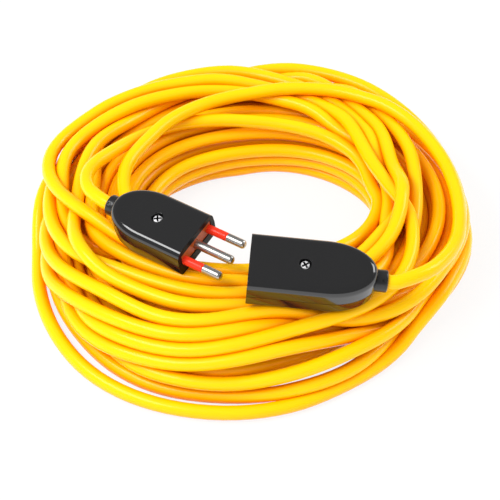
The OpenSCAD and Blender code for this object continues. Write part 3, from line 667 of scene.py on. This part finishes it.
# %% [markdown]
# ## The shells, part 1: how they are modelled
# Each connector is closed by two glossy shells that meet in the middle. What
# makes them read as moulded plastic is the wide soft edge round the top: it
# catches a long highlight, while the flat top stays dark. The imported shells
# have only a few flat strips there, so we model our own in their place.
#
# A shell starts as a plain block. Bevelling its two far corners gives the
# round end, stretching those points along the body turns the circle into the
# flatter dome, and a second bevel rolls the edge over. The inside, the front
# window, the screw's recess and the cable's neck are then cut out with
# boolean modifiers. Sizes are in millimetres until the last step, which sets
# the piece in its connector and turns it to metres.
#
# An operator works on whatever is selected, so the first helper selects the
# vertices, edges or faces that pass a test, and nothing else. The test is a
# small function of one of them, mostly of its place.

# %% Selecting by place
NEAR = 0.01  # millimetres within which a point counts as on a plane


def pick(kind, test):
    """Selects only those vertices, edges or faces of the edited mesh that pass a test."""
    bpy.ops.mesh.select_mode(type=kind)
    bpy.ops.mesh.select_all(action="DESELECT")
    mesh = bmesh.from_edit_mesh(bpy.context.edit_object.data)
    items = {"VERT": mesh.verts, "EDGE": mesh.edges, "FACE": mesh.faces}[kind]
    for item in items:
        item.select = bool(test(item))
    mesh.select_flush_mode()
    bmesh.update_edit_mesh(bpy.context.edit_object.data)


def both_ends(edge, test):
    """Says whether both ends of an edge pass a test of their place."""
    return all(test(v.co) for v in edge.verts)


print("a point is on a plane within", NEAR, "mm")

# %% [markdown]
# The cutters are blocks and round bars. A primitive operator leaves its size
# and place on the object, and we want both in the mesh, so each new primitive
# has its transform applied at once. An edit of its points then works in the
# same millimetres as everything else.

# %% Blocks and round bars to start from
BAR_SIDES = 40


def start(name):
    """Names the primitive that was just added and puts its place and size in its mesh."""
    piece = bpy.context.object
    piece.name = name
    bpy.ops.object.transform_apply(location=True, rotation=True, scale=True)
    return piece


def block(x, y, z):
    """A block between two values on each axis."""
    bpy.ops.object.select_all(action="DESELECT")
    middle = (sum(x) / 2, sum(y) / 2, sum(z) / 2)
    size = (x[1] - x[0], y[1] - y[0], z[1] - z[0])
    bpy.ops.mesh.primitive_cube_add(size=1, location=middle, scale=size)
    return start("block_cutter")


def round_bar(radius, at, to, sides=BAR_SIDES):
    """A round bar from one point to another."""
    middle, way = (Vector(at) + Vector(to)) / 2, Vector(to) - Vector(at)
    turned = way.to_track_quat("Z", "Y").to_euler()
    bpy.ops.object.select_all(action="DESELECT")
    bpy.ops.mesh.primitive_cylinder_add(vertices=sides, radius=radius, depth=way.length,
                                        location=middle, rotation=turned)
    return start("bar_cutter")


print("sides of a bar:", BAR_SIDES)

# %% [markdown]
# A boolean modifier takes one closed shape out of another, or joins the two.
# It could stay live, but then the cutters would have to stay in the file too,
# so it is applied at once. The exact solver is slower than the fast one and
# copes with faces that lie in one plane, which happens here at the joint.

# %% Cutting and joining
BEYOND = 1  # millimetres by which a cutter reaches past what it cuts


def cut(piece, cutter, operation="DIFFERENCE"):
    """Takes the cutter's shape out of a piece, applies that, and removes the cutter."""
    tool = piece.modifiers.new("cut", "BOOLEAN")
    tool.operation = operation
    tool.solver = "EXACT"
    tool.object = cutter
    bpy.ops.object.select_all(action="DESELECT")
    bpy.context.view_layer.objects.active = piece
    piece.select_set(True)
    bpy.ops.object.modifier_apply(modifier=tool.name)
    bpy.data.objects.remove(cutter)


def join(piece, other):
    """Makes another shape one with a piece."""
    cut(piece, other, "UNION")


print("pieces so far:", len(NODES) + 1)

# %% [markdown]
# The body's outline is the same for both connectors and for the hollow inside
# them, so one function makes them all: a straight front part, and a dome
# behind it. The walls lean in a little towards the top, the draft that lets a
# moulding leave its mould. The bevel that makes the dome stops just short of
# the middle line, because two bevels that meet leave faces of no size.

# %% Half of a connector's body
DOME_SEGMENTS, ROLL_SEGMENTS = 14, 8
# Shares of half the width: how far the bevel goes, and from where its points are stretched.
SHORT_OF_MIDDLE, DOME_FROM = 0.985, 0.98


def half_body(name, front, back, width, height, dome, roundness, draft):
    """A half: flat side at z = 0, front at x = front, a dome at the back and leaning walls."""
    bpy.ops.object.select_all(action="DESELECT")
    corner = width / 2
    before = back - dome + corner
    bpy.ops.mesh.primitive_cube_add(size=1, location=((front + before) / 2, 0, height / 2),
                                    scale=(before - front, width, height))
    piece = start(name)
    bpy.ops.object.mode_set(mode="EDIT")

    def far_corner(edge):
        """Says whether an edge is one of the two upright ones at the back."""
        upright = abs(edge.verts[0].co.z - edge.verts[1].co.z) > NEAR
        return upright and both_ends(edge, lambda c: c.x > before - NEAR)

    def upper_rim(edge):
        """Says whether an edge is round the top, but for the one at the front."""
        on_top = both_ends(edge, lambda c: c.z > height - NEAR)
        return on_top and not both_ends(edge, lambda c: c.x < front + NEAR)

    pick("EDGE", far_corner)
    bpy.ops.mesh.bevel(offset=corner * SHORT_OF_MIDDLE, segments=DOME_SEGMENTS, affect="EDGES")
    pick("VERT", lambda v: v.co.x > before - corner * DOME_FROM)
    bpy.ops.transform.resize(value=(dome / corner, 1, 1),
                             center_override=(before - corner, 0, 0))
    pick("VERT", lambda v: v.co.z > height - NEAR)
    bpy.ops.transform.resize(value=(1 - draft / (back - front), 1 - draft / corner, 1),
                             center_override=(front, 0, 0))
    pick("EDGE", upper_rim)
    bpy.ops.mesh.bevel(offset=roundness, segments=ROLL_SEGMENTS, affect="EDGES")
    bpy.ops.object.mode_set(mode="OBJECT")
    return piece


print("segments round a dome:", 2 * DOME_SEGMENTS)

# %% [markdown]
# ## The shells, part 2: cutting them out
# The walls are thin, as in a real moulding. The upper shell's rim is rolled
# over further than the lower one's, and its walls lean in more. The plug's
# front opening holds the block with the pins and is higher above the joint
# than below it; the socket's holds its face and is the same on both sides.

# %% Sizes of the shells, in millimetres
WALL, FRONT_WALL, SEAM = 1.5, 1.8, 0.25
NECK_RADIUS, NECK_INSIDE, NECK_OUTSIDE = 4.9, 8, 2
PLUG_DOME, PLUG_SCREW = 20.0, 20.0
SOCKET_DOME, SOCKET_SCREW = 22.0, 23.5
BOSS_RADIUS, BOSS_FROM, BOSS_TO = 4.2, 4.5, 0.5  # from and to: below the top
RECESS_RADIUS, RECESS_DEPTH, RECESS_WIDENS = 2.45, 2.6, 1.1
SOFT_EDGE = 0.2
INSIDE_TIGHTER = 1  # the hollow's rolled edge is less round than the outside's
# Roundness of the rolled edge, and how far the walls lean in.
UPPER_EDGE, LOWER_EDGE = (3.3, 0.7), (2.4, 0.3)
# Half the width, and the height, of each front opening.
PLUG_WINDOW_ABOVE, PLUG_WINDOW_BELOW, SOCKET_WINDOW = (11.2, 4.1), (11.2, 2.7), (11.95, 4.5)
print("walls:", WALL, "mm, front wall:", FRONT_WALL, "mm")

# %% [markdown]
# The recess of the closing screw widens towards the top, as a moulded hole
# does, so its cutter is a bar whose upper rim is made wider in edit mode. A
# narrow bevel then softens every sharp edge but those of the joint plane. The
# parting line is a real gap: the joint plane of each shell stands back by half
# a seam, and the dark inside shows through it as a fine line. The lower shell
# is turned over, not mirrored, so its faces still point outwards.
#
# Two things help the shading. The top is one large many-sided face with a
# hole in it, and Weighted Normals keeps it flat, while the rolled edge stays
# smooth. The front faces get a second material slot, because a moulding's
# front is matt where its pins or holes are, and would else mirror the floor.

# %% One shell
SHARP, SMOOTH_BELOW = math.radians(50), math.radians(40)
FORWARD, FRONT_ZONE = -0.9, 0.1  # a front face's normal is below this, and so is its place


def soften_and_part():
    """Softens the active shell's sharp edges, and moves its joint plane back by half a seam."""
    bpy.ops.object.mode_set(mode="EDIT")
    pick("EDGE", lambda e: (e.calc_face_angle(0) > SHARP
                            and max(v.co.z for v in e.verts) > NEAR))
    bpy.ops.mesh.bevel(offset=SOFT_EDGE, segments=2, affect="EDGES")
    pick("VERT", lambda v: v.co.z < NEAR)
    bpy.ops.transform.translate(value=(0, 0, SEAM / 2))
    bpy.ops.object.mode_set(mode="OBJECT")


def shell(name, length, thick, dome, screw_x, window, below=False):
    """One shell, open towards the joint plane."""
    height = thick / 2
    roundness, draft = LOWER_EDGE if below else UPPER_EDGE
    piece = half_body(name, 0, length, BODY_WIDTH, height, dome, roundness, draft)
    cut(piece, half_body("hollow", FRONT_WALL, length - WALL, BODY_WIDTH - 2 * WALL,
                         height - WALL, dome - WALL, roundness - INSIDE_TIGHTER, draft))
    cut(piece, block((-BEYOND, FRONT_WALL + BEYOND), (-window[0], window[0]),
                     (-BEYOND, window[1])))
    cut(piece, round_bar(NECK_RADIUS, (length - NECK_INSIDE, 0, 0),
                         (length + NECK_OUTSIDE, 0, 0)))
    join(piece, round_bar(BOSS_RADIUS, (screw_x, 0, height - BOSS_FROM),
                          (screw_x, 0, height - BOSS_TO)))
    recess = round_bar(RECESS_RADIUS, (screw_x, 0, height - RECESS_DEPTH),
                       (screw_x, 0, height + NEAR))
    bpy.ops.object.mode_set(mode="EDIT")
    pick("VERT", lambda v: v.co.z > height)
    bpy.ops.transform.resize(value=(RECESS_WIDENS, RECESS_WIDENS, 1),
                             center_override=(screw_x, 0, height))
    bpy.ops.object.mode_set(mode="OBJECT")
    cut(piece, recess)
    soften_and_part()
    if below:
        piece.rotation_euler = (math.pi, 0, 0)
        bpy.ops.object.transform_apply(location=False, rotation=True, scale=False)
    for face in piece.data.polygons:
        faces_forward = face.normal.x < FORWARD and face.center.x < FRONT_ZONE
        face.material_index = int(faces_forward)
    bpy.ops.object.shade_smooth_by_angle(angle=SMOOTH_BELOW)
    even = piece.modifiers.new("even", "WEIGHTED_NORMAL")
    even.keep_sharp = True
    bpy.ops.object.modifier_apply(modifier=even.name)
    return piece


print("edges of more than", round(math.degrees(SHARP)), "degrees are softened")

# %% [markdown]
# ## The shells, part 3: setting them in
# A finished piece keeps its place in its mesh and its object at the origin,
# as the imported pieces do. So the turn, the place and the step from
# millimetres to metres go into one matrix that moves the mesh's points. Each
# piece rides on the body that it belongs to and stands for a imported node.

# %% All four shells in their places
def set_in(piece, face, axes):
    """Moves a piece from its connector's millimetres to its place in metres."""
    turned = Matrix(axes.T.tolist()).to_4x4()
    placed = Matrix.Translation(Vector(face) / 1000)
    piece.data.transform(placed @ turned @ Matrix.Scale(0.001, 4))
    piece.data.update()
    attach(piece, "lead")


def dress(pieces, slot_of):
    """Sets pieces in their connectors, in place of the nodes that they are keyed by."""
    for node, piece in pieces.items():
        set_in(piece, *(PLUG_SEAT if node.startswith("plug") else SOCKET_SEAT))
        slot_of(node)
        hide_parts(node)
        print(piece.name, "faces:", len(piece.data.polygons))


PLUG_SHELL = (PLUG_LENGTH, PLUG_THICK, PLUG_DOME, PLUG_SCREW)
SOCKET_SHELL = (SOCKET_LENGTH, SOCKET_THICK, SOCKET_DOME, SOCKET_SCREW)
PLUG_SEAT, SOCKET_SEAT = (plug_face, plug_axes), (socket_face, socket_axes)
shells = {
    "plug_upper_shell": shell("plug_top_shell", *PLUG_SHELL, PLUG_WINDOW_ABOVE),
    "plug_lower_shell": shell("plug_bottom_shell", *PLUG_SHELL, PLUG_WINDOW_BELOW, below=True),
    "socket_upper_shell": shell("socket_top_shell", *SOCKET_SHELL, SOCKET_WINDOW),
    "socket_lower_shell": shell("socket_bottom_shell", *SOCKET_SHELL, SOCKET_WINDOW,
                                below=True),
}
dress(shells, lambda node: "black_shell")

# %% [markdown]
# ## Closing screws
# One screw holds each connector's shells together. Its head sits deep in a
# round recess, so a dark ring shows round it, and its cross slot breaks up
# the bright metal. A bar gets a softly domed rim with a bevel, a thinner bar
# below it is the shank, and two crossed blocks cut the slot. The slot's walls
# and floor take the second, near-black material as painted shade, since no
# light gets down there.

# %% Screw heads
HEAD_RADIUS, HEAD_THICK, HEAD_SUNK, HEAD_ROUNDING = 1.95, 1.7, 0.9, 0.55
SHANK_RADIUS = 1.0
SHANK_FROM, SHANK_TO = 3.6, 1.6  # above the lower shell's underside, below the head's top
SLOT_LENGTH, SLOT_WIDTH, SLOT_DEPTH = 3.3, 0.84, 1.2
SLOT_ABOVE = 0.5  # by which the slot's cutter stands out of the head
SLOT_TURNS = (35, 125)
DARK_WITHIN, DARK_MARGIN = 1.8, 0.1  # from the screw's middle, and from its top and slot
UPRIGHT = 0.2  # the most that an upright face's normal points up or down
HEAD_SIDES, SHANK_SIDES = 32, 24
FITTING_SMOOTH_BELOW = math.radians(35)


def screw(name, screw_x, height):
    """A screw with a cross slot; height is where its shell's top is."""
    top = height - HEAD_SUNK
    piece = round_bar(HEAD_RADIUS, (screw_x, 0, top - HEAD_THICK), (screw_x, 0, top),
                      HEAD_SIDES)
    piece.name = name
    bpy.ops.object.mode_set(mode="EDIT")
    pick("EDGE", lambda e: both_ends(e, lambda c: c.z > top - NEAR))
    bpy.ops.mesh.bevel(offset=HEAD_ROUNDING, segments=4, affect="EDGES")
    bpy.ops.object.mode_set(mode="OBJECT")
    join(piece, round_bar(SHANK_RADIUS, (screw_x, 0, -height + SHANK_FROM),
                          (screw_x, 0, top - SHANK_TO), SHANK_SIDES))
    for turned in SLOT_TURNS:
        slot = block((-SLOT_LENGTH / 2, SLOT_LENGTH / 2), (-SLOT_WIDTH / 2, SLOT_WIDTH / 2),
                     (top - SLOT_DEPTH, top + SLOT_ABOVE))
        slot.rotation_euler = (0, 0, math.radians(turned))
        slot.location = (screw_x, 0, 0)
        bpy.ops.object.transform_apply(location=True, rotation=True, scale=False)
        cut(piece, slot)
    # Painted shade: the slot's walls and floor take the near-black second material.
    for face in piece.data.polygons:
        sunk = top - face.center.z
        reach = math.hypot(face.center.x - screw_x, face.center.y)
        steep = abs(face.normal.z) < UPRIGHT
        wall = DARK_MARGIN < sunk < SLOT_DEPTH + DARK_MARGIN and reach < DARK_WITHIN and steep
        face.material_index = int(wall or abs(sunk - SLOT_DEPTH) < DARK_MARGIN)
    bpy.ops.object.shade_smooth_by_angle(angle=FITTING_SMOOTH_BELOW)
    return piece


print("screw heads:", 2 * HEAD_RADIUS, "mm across, sunk", HEAD_SUNK, "mm")

# %% [markdown]
# ## Collars
# A short collar in each neck grips the cable. It is turned from a bar: the
# rim is rounded, and the bore for the cable is cut through. A small raised
# ring with a dimple in it sits on its side, the mark of a moulding pin.

# %% Collars on the necks
COLLAR_RADIUS, COLLAR_INSIDE, COLLAR_ROUNDING = 4.85, 3, 0.8
MARK_RADIUS, MARK_RAISED = 1.0, 0.12
DIMPLE_RADIUS, DIMPLE_DEPTH = 0.6, 0.5
BORE_CLEARANCE = 0.05
COLLAR_SIDES, MARK_SIDES, BORE_SIDES = 48, 24, 32
PLUG_COLLAR_TURNED, SOCKET_COLLAR_TURNED = -28, 28  # degrees


def collar(name, length, out, turned):
    """A collar that stands out of a body of this length; turned is where its mark is."""
    end, middle = length + out, length + out / 2
    piece = round_bar(COLLAR_RADIUS, (length - COLLAR_INSIDE, 0, 0), (end, 0, 0),
                      COLLAR_SIDES)
    piece.name = name
    bpy.ops.object.mode_set(mode="EDIT")
    pick("EDGE", lambda e: both_ends(e, lambda c: c.x > end - NEAR))
    bpy.ops.mesh.bevel(offset=COLLAR_ROUNDING, segments=4, affect="EDGES")
    bpy.ops.object.mode_set(mode="OBJECT")
    join(piece, round_bar(MARK_RADIUS, (middle, 0, COLLAR_RADIUS - BEYOND),
                          (middle, 0, COLLAR_RADIUS + MARK_RAISED), MARK_SIDES))
    cut(piece, round_bar(DIMPLE_RADIUS, (middle, 0, COLLAR_RADIUS - DIMPLE_DEPTH),
                         (middle, 0, COLLAR_RADIUS + BEYOND), MARK_SIDES))
    cut(piece, round_bar(CABLE_D / 2 + BORE_CLEARANCE,
                         (length - COLLAR_INSIDE - BEYOND, 0, 0), (end + BEYOND, 0, 0),
                         BORE_SIDES))
    piece.rotation_euler = (math.radians(turned), 0, 0)
    bpy.ops.object.transform_apply(location=False, rotation=True, scale=False)
    bpy.ops.object.shade_smooth_by_angle(angle=FITTING_SMOOTH_BELOW)
    return piece


fittings = {
    "plug_closing_screw": screw("plug_screw_head", PLUG_SCREW, PLUG_THICK / 2),
    "plug_cable_sleeve": collar("plug_collar", PLUG_LENGTH, PLUG_COLLAR,
                                PLUG_COLLAR_TURNED),
    "socket_closing_screw": screw("socket_screw_head", SOCKET_SCREW, SOCKET_THICK / 2),
    "socket_cable_sleeve": collar("socket_collar", SOCKET_LENGTH, SOCKET_COLLAR,
                                  SOCKET_COLLAR_TURNED),
}
dress(fittings, lambda node: "screw_head" if "screw" in node else "black_collar")

# %% [markdown]
# ## The pieces at the plug's end

plug_pieces = [shells["plug_upper_shell"], shells["plug_lower_shell"],
               fittings["plug_closing_screw"], fittings["plug_cable_sleeve"]]
plug_pieces += [NODES[n] for n in
                ("pin_carrier", "live_pin", "neutral_pin", "earth_pin", "pin_sleeves")]
print("pieces on the cable's end:", len(plug_pieces))

# %% [markdown]
# ## Finishes
# One function makes a finish from plain words. What is the same all over a
# surface goes on the shader's own sockets; only what varies gets nodes. A
# large soft noise moves the tone and the gloss a little, as flow marks and
# handling do, and a fine one gives the skin of a moulding or the grain of
# drawn metal as a faint relief.

# %% Finish helper
CLOUD_SCALE, RELIEF_DISTANCE = 60, 0.0002
LEAST_ROUGH, MOST_ROUGH = 0.8, 1.25


def finish(name, colour, rough, metal=0.0, mirror=0.5, speck=0.1, grain=900.0, bump=0.03):
    """A moulded or metal finish with a slight variation of tone and gloss."""
    material = bpy.data.materials.new(name)
    material.use_nodes = True
    nodes, links = material.node_tree.nodes, material.node_tree.links
    shader = nodes["Principled BSDF"]
    shader.inputs["Metallic"].default_value = metal
    shader.inputs["Specular IOR Level"].default_value = mirror
    place = nodes.new("ShaderNodeTexCoord")
    cloud = nodes.new("ShaderNodeTexNoise")
    cloud.inputs["Scale"].default_value = CLOUD_SCALE
    links.new(place.outputs["Object"], cloud.inputs["Vector"])
    tone = nodes.new("ShaderNodeMix")
    tone.data_type = "RGBA"
    tone.inputs["A"].default_value = (*[c * (1 - speck) for c in colour], 1)
    tone.inputs["B"].default_value = (*[min(c * (1 + speck), 1) for c in colour], 1)
    links.new(cloud.outputs["Fac"], tone.inputs["Factor"])
    links.new(tone.outputs["Result"], shader.inputs["Base Color"])
    gloss = nodes.new("ShaderNodeMapRange")
    gloss.inputs["To Min"].default_value = rough * LEAST_ROUGH
    gloss.inputs["To Max"].default_value = rough * MOST_ROUGH
    links.new(cloud.outputs["Fac"], gloss.inputs["Value"])
    links.new(gloss.outputs["Result"], shader.inputs["Roughness"])
    fine = nodes.new("ShaderNodeTexNoise")
    fine.inputs["Scale"].default_value = grain
    links.new(place.outputs["Object"], fine.inputs["Vector"])
    relief = nodes.new("ShaderNodeBump")
    relief.inputs["Strength"].default_value = bump
    relief.inputs["Distance"].default_value = RELIEF_DISTANCE
    links.new(fine.outputs["Fac"], relief.inputs["Height"])
    links.new(relief.outputs["Normal"], shader.inputs["Normal"])
    return material


print("gloss varies from", LEAST_ROUGH, "to", MOST_ROUGH, "times its roughness")

# %% [markdown]
# The finishes are keyed by the record's slots. The shells are a hard, almost
# mirror-like black: a very dark colour with low roughness, so that what shows
# is the reflection of the studio. The nickel of the pins is duller than a
# mirror, because plated pins have fine scratches all over. The cable's vinyl
# is a full yellow with a soft, broad shine.

# %% All finishes
FINISHES = {
    "black_shell": finish("glossy_black_moulding", (0.008, 0.008, 0.0085), 0.08, mirror=0.8),
    # Matt black for the shells' fronts, and painted shade in the screws' slots.
    "matt_front_and_slot_shade": finish("matt_black_moulding_front_and_painted_slot_shade", (0.006, 0.006, 0.006), 0.5, mirror=0.15),
    # The pin carrier is the sleeves' red plastic, made a darker red-brown here as painted shade.
    "red_brown_insert": finish("red_moulding_darkened_as_painted_shade", (0.42, 0.085, 0.015), 0.4, mirror=0.2),
    "nickel": finish("bright_nickel", (0.52, 0.51, 0.49), 0.34, metal=1.0, speck=0.04),
    "red_sleeve": finish("red_pin_sleeve", (0.82, 0.035, 0.012), 0.25, mirror=0.25),
    "brass_screw": finish("brass_screw_finish", (0.75, 0.55, 0.25), 0.3, metal=1.0),
    "contact_brass": finish("pressed_brass", (0.62, 0.42, 0.16), 0.35, metal=1.0),
    "zinc": finish("zinc_plate", (0.6, 0.61, 0.62), 0.4, metal=1.0),
    "screw_head": finish("bright_steel_head", (0.8, 0.8, 0.81), 0.3, metal=0.4),
    "cream_insert": finish("cream_moulding", (0.75, 0.68, 0.52), 0.5),
    "black_insert": finish("black_insert_moulding", (0.015, 0.015, 0.017), 0.35),
    "black_collar": finish("black_collar_moulding", (0.013, 0.013, 0.014), 0.3),
    "spring_steel": finish("spring_wire_finish", (0.55, 0.56, 0.58), 0.3, metal=1.0),
    "yellow_cable": finish("yellow_vinyl_sheath", (1.0, 0.58, 0.0), 0.23, mirror=0.2,
                           speck=0.04, bump=0.05),
    "brown_core": finish("brown_core_sheath", (0.10, 0.035, 0.015), 0.4),
    "blue_core": finish("blue_core_sheath", (0.02, 0.09, 0.45), 0.4),
    "earth_core": finish("green_core_sheath", (0.10, 0.35, 0.03), 0.4),
}


def give(piece, *names):
    """Gives a piece these finishes, in this order of slots."""
    for name in names:
        piece.data.materials.append(FINISHES[name])


for part in frame["record"]["subparts"]:
    NODES[part["node"]].data.materials.clear()
    give(NODES[part["node"]], part["material_slot"])
give(cable, "yellow_cable")
for piece in shells.values():
    give(piece, "black_shell", "matt_front_and_slot_shade")
for node, piece in fittings.items():
    if "screw" in node:
        give(piece, "screw_head", "matt_front_and_slot_shade")
    else:
        give(piece, "black_collar")
print("finishes:", len(FINISHES))

# %% [markdown]
# ## The cable's crevices
# Light that gets in between yellow strands is reflected from one to the next,
# and each time the vinyl takes out more of the green, so the crevices of a
# real heap turn deep orange. A few bounces of a renderer don't show enough of
# this. Ambient Occlusion measures how closed in a point is, within about two
# cable diameters, and mixes the orange in there. It looks the same from all
# sides, because it reads the shape and not the camera.

# %% Orange between the strands
CREVICE_REACH, CREVICE_COLOUR = 0.012, (1.0, 0.33, 0.0, 1)
CREVICE_SAMPLES = 6

nodes = FINISHES["yellow_cable"].node_tree.nodes
links = FINISHES["yellow_cable"].node_tree.links
base_colour = nodes["Principled BSDF"].inputs["Base Color"]
crevice = nodes.new("ShaderNodeAmbientOcclusion")
crevice.samples = CREVICE_SAMPLES
crevice.inputs["Distance"].default_value = CREVICE_REACH
depth = nodes.new("ShaderNodeMix")
depth.data_type = "RGBA"
depth.inputs["A"].default_value = CREVICE_COLOUR
links.new(base_colour.links[0].from_socket, depth.inputs["B"])
links.new(crevice.outputs["AO"], depth.inputs["Factor"])
links.new(depth.outputs["Result"], base_colour)
print("nodes in the cable's finish:", len(nodes))

# %% [markdown]
# ## Studio, part 1: the floor
# The background is pure white, but a floor bright enough to be white would
# wash out the object. So the floor is an ordinary pale surface for the light
# that falls on it and for its shadows, and mostly a plain white glow for rays
# that come straight from the camera: a share of 0.85, and the rest is the
# surface with its soft shadow. Reflections see the glow alone, and a little
# brighter, which is what lights the pins and the lower edges of the shells.

# %% White floor
FLOOR_SIZE, PAPER_COLOUR, PAPER_ROUGH = 6, (0.9, 0.9, 0.9, 1), 0.9
GLOW_TO_CAMERA, EXTRA_GLOW_IN_REFLECTIONS = 0.85, 0.4


def times_plus(nodes, links, value, factor, plus):
    """A node for value * factor + plus, where value is a socket and plus a socket or number."""
    node = nodes.new("ShaderNodeMath")
    node.operation = "MULTIPLY_ADD"
    links.new(value, node.inputs[0])
    node.inputs[1].default_value = factor
    if isinstance(plus, float):
        node.inputs[2].default_value = plus
    else:
        links.new(plus, node.inputs[2])
    return node.outputs["Value"]


bpy.ops.object.select_all(action="DESELECT")
bpy.ops.mesh.primitive_plane_add(size=FLOOR_SIZE)
floor = bpy.context.object
floor.name = "studio_floor"
paper = bpy.data.materials.new("white_paper")
paper.use_nodes = True
nodes, links = paper.node_tree.nodes, paper.node_tree.links
surface = nodes["Principled BSDF"]
surface.inputs["Base Color"].default_value = PAPER_COLOUR
surface.inputs["Roughness"].default_value = PAPER_ROUGH
glow = nodes.new("ShaderNodeEmission")
ray = nodes.new("ShaderNodeLightPath").outputs
share = times_plus(nodes, links, ray["Is Camera Ray"], GLOW_TO_CAMERA, ray["Is Glossy Ray"])
strength = times_plus(nodes, links, ray["Is Glossy Ray"], EXTRA_GLOW_IN_REFLECTIONS, 1.0)
links.new(strength, glow.inputs["Strength"])
both = nodes.new("ShaderNodeMixShader")
links.new(share, both.inputs["Fac"])
links.new(surface.outputs["BSDF"], both.inputs[1])
links.new(glow.outputs["Emission"], both.inputs[2])
links.new(both.outputs["Shader"], nodes["Material Output"].inputs["Surface"])
floor.data.materials.append(paper)
print("floor:", FLOOR_SIZE, "m square")

# %% [markdown]
# ## Studio, part 2: the sky
# The sky gives soft light from all round. It is brighter towards the left and
# the front, as if a window were there, which gives the round cable a light
# and a dark side. In reflections it is another sky: bright near the horizon
# and dark overhead, so that the connectors' flat tops stay black and only
# their lower walls turn grey. The camera itself sees plain white.

# %% Sky
WINDOW_SIDE = (-0.7, -0.6, 0.4)
# How far a direction is towards the window, and how strong the light is from there.
TOWARDS_WINDOW, LIGHT_STRENGTH = (0.3, 0.75), (0.72, 1.2)
# How far a direction is above the horizon, and how strong the mirrored sky is there.
ABOVE_HORIZON, MIRRORED_STRENGTH = (0.0, 0.12), (1.3, 0.3)


def ramp(nodes, links, value, from_range, to_range):
    """A node that turns one range of a value into another, and stops at its ends."""
    node = nodes.new("ShaderNodeMapRange")
    for name, number in zip(("From Min", "From Max", "To Min", "To Max"),
                            (*from_range, *to_range)):
        node.inputs[name].default_value = number
    links.new(value, node.inputs["Value"])
    return node.outputs["Result"]


world = bpy.data.worlds.new("studio_sky")
bpy.context.scene.world = world
world.use_nodes = True
nodes, links = world.node_tree.nodes, world.node_tree.links
sky = nodes["Background"]
sky.inputs["Color"].default_value = (1, 1, 1, 1)
direction = nodes.new("ShaderNodeTexCoord").outputs["Generated"]
to_window = nodes.new("ShaderNodeVectorMath")
to_window.operation = "DOT_PRODUCT"
to_window.inputs[1].default_value = WINDOW_SIDE
links.new(direction, to_window.inputs[0])
parts = nodes.new("ShaderNodeSeparateXYZ")
links.new(direction, parts.inputs[0])
light = ramp(nodes, links, to_window.outputs["Value"], TOWARDS_WINDOW, LIGHT_STRENGTH)
mirrored = ramp(nodes, links, parts.outputs["Z"], ABOVE_HORIZON, MIRRORED_STRENGTH)
ray = nodes.new("ShaderNodeLightPath").outputs
shine = nodes.new("ShaderNodeMix")
links.new(ray["Is Glossy Ray"], shine.inputs["Factor"])
links.new(light, shine.inputs["A"])
links.new(mirrored, shine.inputs["B"])
backdrop = nodes.new("ShaderNodeMath")
backdrop.operation = "MAXIMUM"
links.new(shine.outputs["Result"], backdrop.inputs[0])
links.new(ray["Is Camera Ray"], backdrop.inputs[1])
links.new(backdrop.outputs["Value"], sky.inputs["Strength"])
bpy.context.scene.view_settings.view_transform = "Standard"
print("nodes in the sky:", len(nodes))

# %% [markdown]
# ## Studio, part 3: the lamps
# A long softbox at the left draws the long highlight on the plug's rolled
# edge and lights the left of the coil. A weaker square one from the right and
# behind keeps that side from going dull. Both aim at the middle of the heap.

# %% Lamps
HEAP_MIDDLE = (0, 0, 0.02)


def lamp(name, place, width, height, watts):
    """A softbox that aims at the middle of the heap; sizes in metres."""
    data = bpy.data.lights.new(name, "AREA")
    data.shape = "RECTANGLE"
    data.size = width
    data.size_y = height
    data.energy = watts
    light = bpy.data.objects.new(name, data)
    bpy.context.scene.collection.objects.link(light)
    light.location = place
    aim = Vector(HEAP_MIDDLE) - Vector(place)
    light.rotation_euler = aim.to_track_quat("-Z", "Y").to_euler()
    print(name, watts, "watts")


lamp("softbox_left", (-0.53, -0.24, 0.76), 0.7, 0.3, 6.0)
lamp("softbox_right", (0.75, 0.3, 0.55), 0.4, 0.4, 3.0)
